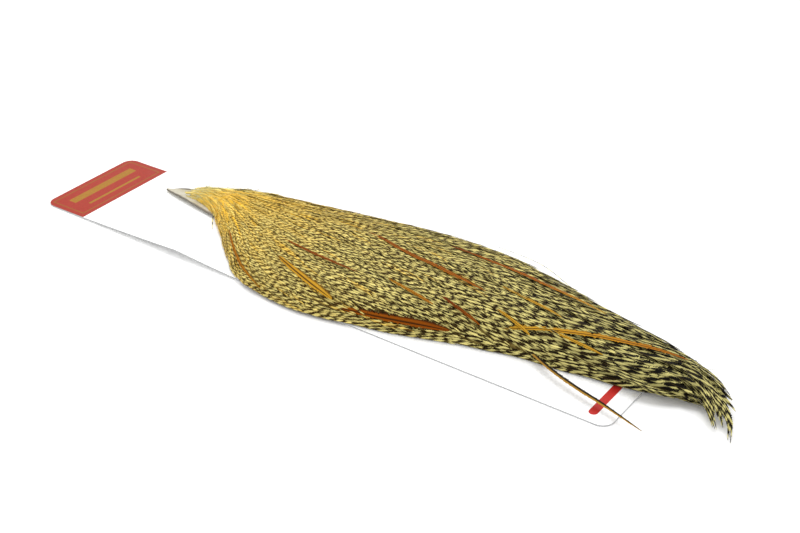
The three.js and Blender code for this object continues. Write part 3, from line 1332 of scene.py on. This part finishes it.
@dataclass(frozen=True)
class Zones:
    """Parts of the plumage with colours of their own.

    Each zone fades in between two stations or two turns, and is a share from 0 to 1.
    """

    band_turn: tuple[float, float] = (0.2, 0.35)
    band_start: tuple[float, float] = (1.8, 2.8)
    band_end: tuple[float, float] = (6.0, 3.0)
    band_gold: float = 0.35
    top_side: tuple[float, float] = (-0.1, 0.3)
    pale_tips: tuple[float, float] = (3.6, 2.2)
    pale_roots: tuple[float, float] = (5.0, 3.0)
    root_pale: float = 0.6
    pale_tone: float = 0.6
    palest: float = -0.3
    golden_roots: tuple[float, float] = (1.2, 2.2)
    least_root: float = 0.2
    odd_share: float = 0.07
    odd_end: float = 7.5
    odd_gold: float = 0.4
    mixed: tuple[float, float] = (3.4, 1.9)
    rim_side: tuple[float, float] = (0.78, 0.93)
    rim_end: tuple[float, float] = (9.0, 6.0)
    rim_tone: float = 0.8
    rim_fading: float = 0.4

    def golden_band(self, station: np.ndarray, turn: np.ndarray) -> np.ndarray:
        """Gives the golden band that runs back from the crown along the top.

        Args:
            station: Stations.
            turn: Turns across.

        Returns:
            Its share, 0 to 1.
        """
        middle, width = self.band_turn
        band = np.exp(-(((turn - middle) / width) ** 2)) * fade(station, *self.band_end)
        return band * fade(station, *self.band_start)

    def pale_top(self, station: np.ndarray, turn: np.ndarray, span: tuple[float, float]) -> np.ndarray:
        """Gives the pale down on the crown's top, over a span of stations."""
        return fade(turn, *self.top_side) * fade(station, *span)

    def far_rim(self, station: np.ndarray, turn: np.ndarray) -> np.ndarray:
        """Gives the light fringe along the far rim."""
        return fade(turn, *self.rim_side) * fade(station, *self.rim_end)


@dataclass
class Plumage:
    """The barred hackles: rows of tips that overlap like shingles, from the head over the tail."""

    form: PlumageForm
    maker: HackleMaker
    growth: Growth = field(default_factory=Growth)
    spread: Spread = Spread()
    zones: Zones = Zones()
    first: float = 0.75
    last: float = 12.35
    rim: float = 0.975
    samples: int = 160
    fewest: int = 3
    seed: int = 7
    bands: int = 14
    small_end: float = 3.2
    large_start: float = 8.0
    barbs: tuple[int, int, int] = (26, 42, 68)
    clump: tuple = ((8.5, 0.15, 0.22, 0.0), (5.2, -0.3, 0.12, 1.3))
    clump_rise: float = 3.0
    least_clump: float = 0.25
    first_root: float = 0.8
    root_spread: float = 0.8
    root_power: float = 3.0
    steepest: float = 0.3
    drift_station: tuple = (2.0, 4.0, 5.3, 6.5, 7.5, 9.0, 10.0)
    drift_amount: tuple = (0.0, -0.1, -0.2, -0.27, -0.32, -0.1, 0.0)
    drift_place: tuple = (-1.0, -0.9, 0.0, 0.35, 0.6)
    drift_share: tuple = (0.0, 1.0, 1.0, 0.15, 0.0)

    def tips(self, rng: np.random.Generator) -> np.ndarray:
        """Spreads the hackle tips over the mound.

        Args:
            rng: Random numbers that loosen the rows.

        Returns:
            Station and turn of each tip.
        """
        found = []
        places = np.linspace(-self.rim, self.rim, self.samples)
        loose = self.spread
        station, row = self.first, 0
        while station < self.last:
            arc = travelled(self.form.point(np.full(self.samples, station), places))
            count = max(self.fewest, round(arc[-1] / self.growth.at("spacing", station)))
            cells = (np.arange(count) + 0.5 + 0.5 * (row % 2 - 0.5)) / count
            cells = cells + rng.uniform(-loose.across, loose.across, count) / count
            along, _ = self.form.slopes(np.array([station]), np.zeros(1))
            stride = self.growth.at("exposure", station) / np.linalg.norm(along)
            across = np.interp(np.clip(cells, 0.0, 1.0) * arc[-1], arc, places)
            ends = station + rng.uniform(-loose.along, loose.along, count) * stride
            found.append(np.stack([ends, across], -1))
            station += stride
            row += 1
        return np.concatenate(found)

    def hackles(self, tips: np.ndarray, barbs: int, rng: np.random.Generator) -> HackleSet:
        """Gives every tip its hackle.

        Args:
            tips: Station and turn of each tip.
            barbs: Groups of barbs on each side.
            rng: Random numbers for what differs from hackle to hackle.

        Returns:
            The hackles.
        """
        station, across = tips.T
        count = len(tips)
        read = {name: self.growth.at(name, station) for name in vars(self.growth) if name != "station"}
        spread, zones = self.spread, self.zones
        gold = read["gold"] * rng.uniform(*spread.gold, count)
        gold = gold + zones.band_gold * zones.golden_band(station, across)
        pale = zones.pale_top(station, across, zones.pale_tips)
        pale_root = zones.root_pale * zones.pale_top(station, across, zones.pale_roots)
        odd = (rng.random(count) < zones.odd_share) & (station < zones.odd_end)
        gold = np.clip(gold + zones.odd_gold * odd - pale, zones.palest, 1.0)
        golden_root = np.maximum(zones.least_root, fade(station, *zones.golden_roots))
        even, mixed = spread.tone
        uneven = even + (mixed - even) * fade(station, *zones.mixed)
        rim = zones.far_rim(station, across)
        return HackleSet(
            tips=tips,
            length=read["length"] * rng.uniform(*spread.length, count),
            half_width=read["half_width"] * rng.uniform(*spread.half_width, count),
            taper=read["exposure"] * rng.uniform(*spread.taper, count),
            sink=read["layer"] / read["exposure"],
            raise_by=rng.normal(0.0, spread.raise_by, count) * read["layer"],
            turn=rng.normal(0.0, spread.turn, count),
            roll=rng.normal(*spread.roll, count),
            pitch=read["bar_pitch"] * rng.uniform(*spread.pitch, count),
            phase=rng.uniform(0.0, 1.0, count),
            gold=gold,
            gold_root=gold * golden_root - pale_root,
            tone=read["tone"] + rng.normal(0.0, 1.0, count) * uneven
            + zones.rim_tone * rim + zones.pale_tone * pale,
            contrast=read["contrast"] * rng.uniform(*spread.contrast, count) * (1 - zones.rim_fading * rim),
            barbs=barbs,
        )

    def drift(self, station: np.ndarray, across: np.ndarray) -> np.ndarray:
        """Gives how fast hackles turn to the near edge with each station.

        Args:
            station: Stations.
            across: Turns across.

        Returns:
            The change of turn with each station.
        """
        share = np.sin(across * math.pi / 2)
        amount = np.interp(station, self.drift_station, self.drift_amount)
        amount = amount * np.interp(share, self.drift_place, self.drift_share)
        return amount / (math.pi / 2 * np.maximum(self.steepest, np.cos(across * math.pi / 2)))

    def quills(self, hackles: HackleSet) -> Quills:
        """Runs each hackle's quill back from its tip, sinking under those that lie over it.

        Args:
            hackles: The hackles.

        Returns:
            Their quills.
        """
        station, across = hackles.tips.T.copy()
        step = hackles.length / hackles.barbs
        limit = self.form.edge
        root = self.first_root - self.root_spread * hackles.phase**self.root_power
        stations, places = [], []
        for _ in range(hackles.barbs + 1):
            stations.append(station)
            places.append(across)
            along, side = self.form.slopes(station, across)
            pace, width = np.linalg.norm(along, axis=-1), np.linalg.norm(side, axis=-1)
            lean = self.drift(station, across) + hackles.turn * pace / width
            stride = step / np.linalg.norm(along + side * lean[:, None], axis=-1)
            station = np.maximum(station - stride, root)
            across = np.clip(across - lean * stride, -limit, limit)
        stations, places = np.stack(stations, 1), np.stack(places, 1)
        return self.laid(hackles, stations, places)

    def laid(self, hackles: HackleSet, stations: np.ndarray, places: np.ndarray) -> Quills:
        """Lays quills on the mound at their depths.

        Args:
            hackles: The hackles.
            stations: Stations along each quill, from its tip.
            places: Places across, in the same order.

        Returns:
            The quills.
        """
        out = self.form.outward(stations, places)
        from_tip = np.linspace(0.0, 1.0, hackles.barbs + 1) * hackles.length[:, None]
        depth = hackles.sink[:, None] * from_tip - hackles.raise_by[:, None] - self.clumps(stations, places)
        points = self.form.point(stations, places) - out * depth[..., None]
        heading = -np.gradient(points, axis=1)
        side = unit(np.cross(out, heading))
        return Quills(points, side, unit(np.cross(heading, side)), from_tip)

    def clumps(self, station: np.ndarray, across: np.ndarray) -> np.ndarray:
        """Gives the soft ridges in which neighbouring hackles lie together.

        Args:
            station: Stations.
            across: Turns across.

        Returns:
            How high they are.
        """
        value, _ = self.form.sizes(station)
        sideways = np.sin(across * math.pi / 2) * (value[..., 2] + value[..., 3]) / 2
        height = np.zeros_like(sideways)
        for wavelength, slant, amount, start in self.clump:
            height += amount * np.sin(TWO_PI * (sideways / wavelength + slant * station) + start)
        return height * np.clip(station / self.clump_rise, self.least_clump, 1.0)

    def build(self) -> list[bpy.types.Object]:
        """Makes the hackles as lengthwise bands.

        Returns:
            A piece for each band.
        """
        rng = np.random.default_rng(self.seed)
        tips = self.tips(rng)
        small = tips[:, 0] < self.small_end
        large = tips[:, 0] > self.large_start
        sorted_tips = (tips[small], tips[~small & ~large], tips[large])
        sets = [self.hackles(some, barbs, rng) for some, barbs in zip(sorted_tips, self.barbs)]
        LOG.info("hackles: %s", [len(s) for s in sets])
        edges = np.quantile(tips[:, 1], np.linspace(0.0, 1.0, self.bands + 1)[1:-1])
        pieces = []
        for band in range(self.bands):
            mesh = VaneMesh()
            for hackles in sets:
                chosen = hackles.pick(np.digitize(hackles.tips[:, 1], edges) == band)
                if len(chosen):
                    self.maker.add(mesh, chosen, self.quills(chosen), rng)
            pieces.append(self.maker.piece(f"barred_hackles_{band + 1}", mesh))
        return pieces


@dataclass
class UnderDown:
    """The dull down under the hackles, which closes the gaps between them."""

    form: PlumageForm
    depth_station: tuple = (0.0, 2.0, 4.0, 8.0, 11.0, 12.6)
    depth: tuple = (0.5, 0.7, 1.2, 1.9, 2.6, 2.6)
    start: float = 0.65
    end: float = 10.6
    rim: float = 0.99
    columns: int = 90
    rows: int = 28
    smooth_below: float = 60.0

    def build(self) -> bpy.types.Object:
        """Models the down from a grid that is shaped to the mound and closed below.

        Returns:
            The down's object.
        """
        piece = new_grid("under_down", self.columns, self.rows)
        shape(piece, self._mound)
        bpy.ops.object.mode_set(mode="EDIT")
        bpy.ops.mesh.select_all(action="SELECT")
        bpy.ops.mesh.region_to_loop()
        bpy.ops.mesh.edge_face_add()
        bpy.ops.mesh.select_all(action="SELECT")
        bpy.ops.mesh.quads_convert_to_tris()
        bpy.ops.mesh.normals_make_consistent(inside=False)
        bpy.ops.object.mode_set(mode="OBJECT")
        bpy.ops.object.shade_smooth_by_angle(angle=math.radians(self.smooth_below))
        return piece

    def _mound(self, places: np.ndarray) -> np.ndarray:
        """Turns the flat grid into the mound, a little under the hackles.

        Args:
            places: Places on the grid, -1 to 1.

        Returns:
            Its places, in millimetres.
        """
        station = self.start + (places[:, 0] + 1) / 2 * (self.end - self.start)
        turn = places[:, 1] * self.rim
        depth = np.interp(station, self.depth_station, self.depth)
        lowered = self.form.point(station, turn) - self.form.outward(station, turn) * depth[:, None]
        value, _ = self.form.sizes(station)
        floor = value[:, 5] + self.form.card.lift(value[:, 0])
        lowered[:, 2] = np.maximum(lowered[:, 2], floor)
        return lowered


@dataclass(frozen=True)
class LooseHackle:
    """A hackle of another colour on top of the barred ones.

    Its root and its tip are each a station and a share of the half width there. Its warmth at root and tip
    runs from dark red at 0 over russet to ochre at 1, and its shade is how dark its far vane is.
    """

    root: tuple[float, float]
    tip: tuple[float, float]
    half_width: float
    warm: tuple[float, float]
    shade: float = 0.0


@dataclass
class GingerHackles:
    """The odd russet, ginger and ochre hackles among the barred ones."""

    plumage: Plumage
    maker: HackleMaker
    russet: tuple = (
        LooseHackle((4.65, -0.7), (5.5, -0.88), 2.2, (0.85, 0.97), 0.75),
        LooseHackle((4.6, -0.45), (5.6, -0.55), 0.8, (0.3, 0.2), 0.3),
        LooseHackle((5.7, 0.03), (7.3, -0.32), 1.4, (0.3, 0.6), 0.6),
        LooseHackle((7.0, 0.36), (8.95, 0.28), 1.7, (0.2, 0.95), 0.4),
        LooseHackle((6.0, -0.93), (7.1, -0.93), 2.4, (0.3, 0.2), 0.9),
        LooseHackle((6.95, -0.64), (7.45, -0.82), 0.9, (0.1, 0.35), 0.4),
        LooseHackle((8.55, -0.55), (10.9, 0.15), 1.6, (0.95, 0.55), 0.3),
    )
    ochre: tuple = (
        LooseHackle((3.45, -0.85), (4.45, -0.97), 0.9, (0.6, 0.75), 0.4),
        LooseHackle((6.2, -0.57), (6.75, -0.72), 0.9, (0.75, 0.65), 0.3),
        LooseHackle((7.65, -0.12), (8.45, -0.32), 0.9, (0.9, 0.95), 0.3),
        LooseHackle((7.7, -0.6), (8.15, -0.78), 0.9, (0.9, 0.95), 0.2),
        LooseHackle((8.55, -0.62), (9.35, -0.7), 0.9, (1.0, 1.0), 0.5),
    )
    barbs: int = 60
    hidden: float = 0.35
    widen: float = 1.25
    raise_by: float = 1.25
    depth: float = 1.3
    taper: float = 0.4
    pitch: float = 3.0
    rim: float = 0.995
    seed: int = 11

    def build(self) -> list[bpy.types.Object]:
        """Makes a piece of each russet hackle, and then one of all the ochre ones.

        Returns:
            The pieces.
        """
        rng = np.random.default_rng(self.seed)
        pieces = []
        for number, hackle in enumerate(self.russet, 1):
            pieces.append(self._piece(f"russet_vane_{number}", [hackle], rng))
        pieces.append(self._piece("ochre_vanes", self.ochre, rng))
        return pieces

    def _piece(
        self, name: str, hackles: Sequence[LooseHackle], rng: np.random.Generator
    ) -> bpy.types.Object:
        """Makes one piece of hackles.

        Args:
            name: Its name.
            hackles: Its hackles.
            rng: Random numbers for the ragged edges.

        Returns:
            The piece.
        """
        mesh = VaneMesh()
        for hackle in hackles:
            self._add(mesh, hackle, rng)
        return self.maker.piece(name, mesh)

    def _add(self, mesh: VaneMesh, hackle: LooseHackle, rng: np.random.Generator) -> None:
        """Adds a hackle that runs on from its visible root under the others.

        Args:
            mesh: The arrays to add to.
            hackle: The hackle.
            rng: Random numbers for the ragged edges.
        """
        form = self.plumage.form
        share = np.linspace(0.0, 1.0 + self.hidden, self.barbs + 1)
        (root_station, root_place), (tip_station, tip_place) = hackle.root, hackle.tip
        stations = (tip_station + (root_station - tip_station) * share)[None]
        places = np.clip(tip_place + (root_place - tip_place) * share, -self.rim, self.rim)
        turns = form.turn(places)[None]
        length = np.linalg.norm(np.diff(form.point(stations, turns), axis=1), axis=-1).sum(1)
        laid = HackleSet.plain(
            np.array([[tip_station, turns[0, 0]]]),
            self.barbs,
            length=length,
            half_width=hackle.half_width * self.widen,
            taper=length * self.taper,
            sink=self.depth / length,
            raise_by=self.raise_by,
            pitch=self.pitch,
            gold=hackle.warm[1],
            gold_root=hackle.warm[0],
            contrast=hackle.shade,
        )
        self.maker.add(mesh, laid, self.plumage.laid(laid, stations, turns), rng)


@dataclass
class AirHackles:
    """Hackles that run through the air: the dark stray one, thin wisps and the tail's curled bundles.

    Each path runs through places from root to tip.
    """

    maker: HackleMaker
    stray: tuple = ((110, -3, 5.6), (128, -12, 4.8), (145, -18, 4.6), (163, -22.5, 4.2), (184, -28, 3.0))
    wisps: tuple = (
        ((60, 51, 13), (89.6, 47.3, 14), (113.4, 37.5, 13.5), (128, 34, 12)),
        ((165, 19, 11), (179.6, 18.2, 12), (185.2, 19.4, 12), (189.5, 20.6, 11.5)),
        ((172, 15, 11.5), (185.8, 15.2, 12), (190.6, 15.9, 12), (196.5, 21.8, 11)),
        ((-88, 9, 6.4), (-82.8, 5, 5.6), (-78.5, -0.5, 5.2), (-75, -4.5, 4.8), (-72.7, -7.2, 4.4)),
    )
    tail: tuple = (
        (
            (150, 18, 13), (172, 18.5, 11.5), (186, 13, 10.5),
            (196, 4.5, 8.3), (202.5, -2.5, 5), (207.7, -8.4, 2),
        ),
        (
            (150, 20, 13), (174, 18.4, 11.2), (187.6, 13.9, 9.8),
            (198, 6.3, 7.6), (204.6, 0.6, 5), (209.4, -5.3, 2.4),
        ),
        (
            (150, 22, 12.5), (176, 19.7, 10.8), (188.5, 15.2, 9.4),
            (200, 8.3, 7.4), (210, -0.7, 4.6), (216, -12.8, 1.8),
        ),
        (
            (150, 23, 11.5), (177, 20.4, 10.2), (185.7, 18.2, 9.2),
            (194.4, 13.9, 7.9), (202.7, 9.4, 6.2), (211, 4.9, 4.4),
        ),
        ((150, 4, 8), (162, 2.5, 7), (174, 1.5, 5.6), (184, 1.8, 4.2), (190, 2.2, 3.2), (196, 3, 2.4)),
        ((150, 8, 12), (165, 7, 10.5), (177, 6, 8.6), (187, 5, 6.4), (193, 4.5, 4.8), (199, 3, 3.2)),
        ((150, 13, 13.5), (170, 12.5, 12), (182, 10, 10), (191, 6.5, 7.8), (197, 3, 5.8), (203, -2.5, 3.4)),
        ((150, 16, 14), (172, 16, 12.4), (185, 13, 10.8), (194, 8.5, 8.8), (200, 4, 6.8), (206, -2.5, 4)),
        ((150, 6, 10.5), (165, 5, 9), (177, 4.2, 7.4), (186, 3.8, 5.6), (192, 3.6, 4.4), (198, 2.5, 2.8)),
        ((150, 10, 12.5), (170, 9.5, 11), (182, 8, 9), (190, 6.5, 7), (196, 5, 5.2), (202, 1.5, 3)),
        ((150, 11, 13), (170, 11, 11.5), (183, 9, 9.8), (192, 6, 7.6), (199, 1.5, 5.4), (204.5, -4.5, 3)),
        (
            (150, 21, 12.8), (175, 19.4, 11), (188.2, 14.7, 9.6),
            (198.4, 8.3, 7.6), (205.3, 3, 5.4), (209.9, -1.6, 3.4),
        ),
        (
            (150, -1, 8.5), (159, -2.2, 7.8), (168, -3.4, 6.8),
            (175.5, -3, 5.6), (183, -0.6, 4.4), (190, 3, 3.4),
        ),
    )
    bundle: int = 9
    spread: float = 2.4
    tip_spread: float = 0.35
    rise: tuple[float, float] = (-0.5, 0.4)
    stagger: float = 0.8
    taper: float = 0.45
    pitch: float = 6.4
    pitch_spread: tuple[float, float] = (0.85, 1.15)
    barbs: int = 64
    seed: int = 5

    def build_tail(self) -> bpy.types.Object:
        """Makes the longest hackles, in small bundles that curl past the end.

        Returns:
            The piece.
        """
        rng = np.random.default_rng(self.seed)
        paths = []
        for path in self.tail:
            for number in range(self.bundle):
                back = self.stagger * number / self.bundle
                ends = np.linspace(0.0, len(path) - 1 - back, len(path))
                points, slope = run_through(path, ends)
                aside = unit(np.cross(UP, slope))
                narrowing = np.linspace(1.0, self.tip_spread, len(path))[:, None]
                points = points + aside * (narrowing * rng.uniform(-self.spread, self.spread))
                points[:, 2] += rng.uniform(*self.rise)
                paths.append(points)
        return self._piece("tail_hackles", paths, half_width=1.5, contrast=1.3, roll=-0.1, tone=-0.8)

    def build_stray(self) -> bpy.types.Object:
        """Makes the dark stray hackle."""
        warm = {"gold": 0.75, "gold_root": 0.6}
        return self._piece("stray_vane", [self.stray], half_width=1.5, contrast=1.0, **warm)

    def build_wisps(self) -> bpy.types.Object:
        """Makes the thin barred wisps."""
        return self._piece("loose_wisps", self.wisps, half_width=0.5, contrast=1.0)

    def _piece(self, name: str, paths: Sequence, **values: float) -> bpy.types.Object:
        """Makes one piece of hackles along paths.

        Args:
            name: The piece's name.
            paths: A path for each hackle.
            **values: What the hackles share, such as their half width.

        Returns:
            The piece.
        """
        rng = np.random.default_rng(self.seed)
        mesh = VaneMesh()
        for path in paths:
            quills = Quills.along(path, self.barbs)
            length = quills.from_tip[:, -1]
            hackles = HackleSet.plain(
                np.zeros((1, 2)),
                self.barbs,
                length=length,
                taper=length * self.taper,
                pitch=self.pitch * rng.uniform(*self.pitch_spread),
                phase=rng.random(),
                **values,
            )
            self.maker.add(mesh, hackles, quills, rng)
        return self.maker.piece(name, mesh)


@dataclass
class CrownDown:
    """Silky golden threads at the crown, some of which stand off its edge."""

    plumage: Plumage
    count: int = 650
    station: tuple[float, float] = (0.8, 3.0)
    length: tuple[float, float] = (6.0, 14.0)
    half_width: tuple[float, float] = (0.1, 0.22)
    lift: float = 0.5
    loose_share: float = 0.12
    loose_lift: float = 5.0
    loose_turn: tuple[float, float] = (0.3, 0.9)
    strand_shade: float = 1.0
    strand_count: float = 34.0
    strand_lean: float = 2.5
    side: float = 0.95
    taper: float = 0.6
    root_sink: float = 0.5
    root_rise: float = 0.2
    lean: float = 0.12
    pitch: float = 3.0
    gold: float = 0.85
    top_pale: float = 1.4
    top_span: tuple[float, float] = (-0.3, 0.7)
    head_pale: float = 0.5
    head_span: tuple[float, float] = (1.8, 0.8)
    root_pale: float = 0.8
    root_span: tuple[float, float] = (2.2, 1.2)
    tone: tuple[float, float] = (0.2, 0.4)
    loose_shade: float = 1.4
    barbs: int = 7
    seed: int = 3

    def build(self) -> bpy.types.Object:
        """Makes the threads as very narrow vanes.

        Returns:
            The piece.
        """
        rng = np.random.default_rng(self.seed)
        stations = rng.uniform(*self.station, self.count)
        loose = rng.random(self.count) < self.loose_share
        standing = rng.uniform(*self.loose_turn, self.count)
        turns = np.where(loose, standing, rng.uniform(-self.side, self.side, self.count))
        lift = np.where(loose, self.loose_lift, self.lift) * rng.random(self.count)
        length = rng.uniform(*self.length, self.count)
        strands = self.strand_shade * np.sin(self.strand_count * turns + self.strand_lean * stations)
        pale = self.top_pale * fade(turns, *self.top_span) + self.head_pale * fade(stations, *self.head_span)
        threads = HackleSet.plain(
            np.stack([stations, turns], -1),
            self.barbs,
            length=length,
            half_width=rng.uniform(*self.half_width, self.count),
            taper=length * self.taper,
            sink=(lift + self.root_sink) / length,
            raise_by=lift + self.root_rise,
            turn=rng.normal(0.0, self.lean, self.count),
            pitch=self.pitch,
            phase=rng.random(self.count),
            gold=self.gold - pale,
            gold_root=-self.root_pale * fade(stations, *self.root_span),
            tone=strands + rng.normal(*self.tone, self.count) - self.loose_shade * loose,
        )
        mesh = VaneMesh()
        self.plumage.maker.add(mesh, threads, self.plumage.quills(threads), rng)
        return self.plumage.maker.piece("crown_threads", mesh)


# The skin


@dataclass
class NeckSkin:
    """The dried skin: a strip with rolled edges that runs to a point at the head end."""

    card: BackingCard
    stations: tuple = (
        (-124.8, 14.4, 0.6, 0.2),
        (-118, 15.2, 3.6, 1.2),
        (-108, 15.6, 6.2, 1.6),
        (-98, 15, 8, 1.2),
        (-80, 14, 11, 0.4),
        (-50, 12, 19, 0),
        (-10, 10, 24, 0),
        (20, 10, 14, 0),
    )
    thickness: float = 0.9
    gap: float = 0.7
    columns: int = 70
    rows: int = 16
    crowding: float = 1.5
    roll: float = 1.35
    curl_power: float = 4.0
    wrinkles: tuple = ((0.12, 0.9, 4.0), (0.1, 0.37, -7.0))
    full_wrinkles: float = 6.0

    def build(self) -> bpy.types.Object:
        """Models the skin from a grid, given its thickness and rounded off.

        Returns:
            The skin's object.
        """
        piece = new_grid("dried_skin", self.columns, self.rows)
        grid = np.empty(len(piece.data.vertices) * 3)
        piece.data.vertices.foreach_get("co", grid)
        set_attribute(piece.data, "across", grid.reshape(-1, 3)[:, 1])
        shape(piece, self._strip)
        apply_modifier(piece, "SOLIDIFY", thickness=self.thickness * MM, offset=1.0)
        apply_modifier(piece, "SUBSURF", levels=1, render_levels=1)
        bpy.ops.object.shade_smooth()
        return piece

    def _strip(self, places: np.ndarray) -> np.ndarray:
        """Turns the flat grid into the strip with its curled edges.

        Args:
            places: Places on the grid, -1 to 1.

        Returns:
            Its places, in millimetres.
        """
        table = np.array(self.stations, float)
        share = ((places[:, 0] + 1) / 2) ** self.crowding
        x = table[0, 0] + share * (table[-1, 0] - table[0, 0])
        y, half, curl = (np.interp(x, table[:, 0], table[:, k]) for k in (1, 2, 3))
        across = places[:, 1]
        rolled = np.sin(np.clip(across, -1.0, 1.0) * self.roll) / math.sin(self.roll)
        wrinkle = sum(depth * np.sin(x * along + across * aside) for depth, along, aside in self.wrinkles)
        z = self.card.lift(x) + self.card.thickness + self.gap + curl * across**self.curl_power
        return np.stack([x, y + half * rolled, z + wrinkle * fade(half, 0.0, self.full_wrinkles)], -1)


# The studio


@dataclass(frozen=True)
class Lamp:
    """A square lamp: its place and side in metres, and its power in watts."""

    name: str
    place: tuple[float, float, float]
    size: float
    power: float


@dataclass
class Studio:
    """Camera, floor and soft light, as in the photograph's plain white studio."""

    camera_at: tuple = (373.97, -469.19, 368.73)
    azimuth: float = 35.3863
    elevation: float = 31.3005
    focal_px: float = 1424.4886
    frame_px: float = 800.0
    sensor: float = 36.0
    near_clip: float = 10.0
    floor_size: float = 6000.0
    floor_drop: float = 0.2
    sky: float = 0.58
    white: tuple = (1.0, 1.0, 1.0, 1.0)
    lamps: tuple[Lamp, ...] = (
        Lamp("overhead", (-0.25, 0.45, 1.1), 1.2, 14.0),
        Lamp("side", (-0.9, -0.5, 0.7), 0.7, 4.0),
        Lamp("foot", (0.5, -0.5, 0.3), 0.4, 1.2),
    )
    lamp_target: tuple = (0.03, 0.01, 0.0)

    def camera(self) -> None:
        """Sets the camera at the photograph's viewing angle."""
        deselect_all()
        bpy.ops.object.camera_add(location=Vector(self.camera_at) * MM)
        camera = bpy.context.object
        azimuth, elevation = math.radians(self.azimuth), math.radians(self.elevation)
        back = Vector((
            math.sin(azimuth) * math.cos(elevation),
            -math.cos(azimuth) * math.cos(elevation),
            math.sin(elevation),
        ))
        camera.rotation_mode = "QUATERNION"
        camera.rotation_quaternion = (-back).to_track_quat("-Z", "Y")
        camera.data.sensor_width = self.sensor
        camera.data.lens = self.sensor * self.focal_px / self.frame_px
        camera.data.clip_start = self.near_clip * MM
        bpy.context.scene.camera = camera

    def floor(self) -> None:
        """Adds the pale floor that the card lies on."""
        deselect_all()
        place = (0.0, 0.0, -self.floor_drop * MM)
        bpy.ops.mesh.primitive_plane_add(size=self.floor_size * MM, location=place)
        floor = bpy.context.object
        floor.name = "studio_floor"
        floor.data.materials.append(FloorFinish().build())
        floor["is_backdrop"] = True

    def light(self) -> None:
        """Adds a bright sky and large soft lamps."""
        scene = bpy.context.scene
        scene.world = bpy.data.worlds.new("studio_sky")
        scene.world.use_nodes = True
        background = scene.world.node_tree.nodes["Background"]
        background.inputs["Color"].default_value = self.white
        background.inputs["Strength"].default_value = self.sky
        for lamp in self.lamps:
            self._hang(lamp)
        scene.view_settings.view_transform = "Standard"
        scene.view_settings.look = "None"

    def _hang(self, lamp: Lamp) -> None:
        """Adds a lamp that shines at the cape.

        Args:
            lamp: The lamp.
        """
        deselect_all()
        bpy.ops.object.light_add(type="AREA", location=lamp.place)
        light = bpy.context.object
        light.name = lamp.name
        light.data.size = lamp.size
        light.data.energy = lamp.power
        aim = Vector(self.lamp_target) - Vector(lamp.place)
        light.rotation_mode = "QUATERNION"
        light.rotation_quaternion = aim.to_track_quat("-Z", "Y")


def write_sizes() -> None:
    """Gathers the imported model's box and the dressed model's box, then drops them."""
    boxes = {"cad": CAD_BOX, "visual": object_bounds()}
    {name: [list(corner) for corner in box] for name, box in boxes.items()}


def main() -> None:
    """Builds the studio and every piece of the cape."""
    logging.basicConfig(level=logging.INFO, format="%(name)s: %(message)s")
    studio = Studio()
    studio.camera()
    studio.floor()
    studio.light()
    card = BackingCard()
    dress(card.build(), CardFinish().build(card.length, card.width), Slot.CARD, "backing_card")
    dress(NeckSkin(card).build(), SkinFinish().build(), Slot.SKIN, "neck_skin")
    form = PlumageForm(card)
    dress(UnderDown(form).build(), DownFinish().build(), Slot.PLUMAGE, "hackle_plumage")
    barred = BarredFinish().build()
    plumage = Plumage(form, HackleMaker(card))
    for piece in plumage.build():
        dress(piece, barred, Slot.PLUMAGE, "hackle_plumage")
    dress(CrownDown(plumage).build(), barred, Slot.PLUMAGE, "hackle_plumage")
    ginger = WarmFinish("ginger_hackle").build()
    wide_maker = HackleMaker(card, near_share=0.45, ragged=0.3)
    *russet, ochre = GingerHackles(plumage, wide_maker).build()
    for number, piece in enumerate(russet, 1):
        dress(piece, ginger, Slot.RUSSET, f"russet_hackle_{number}")
    dress(ochre, ginger, Slot.RUSSET)
    stray_finish = WarmFinish(
        "stray_hackle",
        deep=linear(60, 40, 14),
        middle=linear(150, 112, 44),
        quill=linear(22, 15, 6),
        shade_from=(-0.15, 0.3),
    )
    stray = AirHackles(HackleMaker(card, near_share=0.9)).build_stray()
    dress(stray, stray_finish.build(), Slot.STRAY, "stray_hackle")
    air = AirHackles(HackleMaker(card))
    dress(air.build_tail(), barred, Slot.PLUMAGE, "hackle_plumage")
    dress(air.build_wisps(), barred, Slot.PLUMAGE)
    write_sizes()


if __name__ == "__main__":
    main()
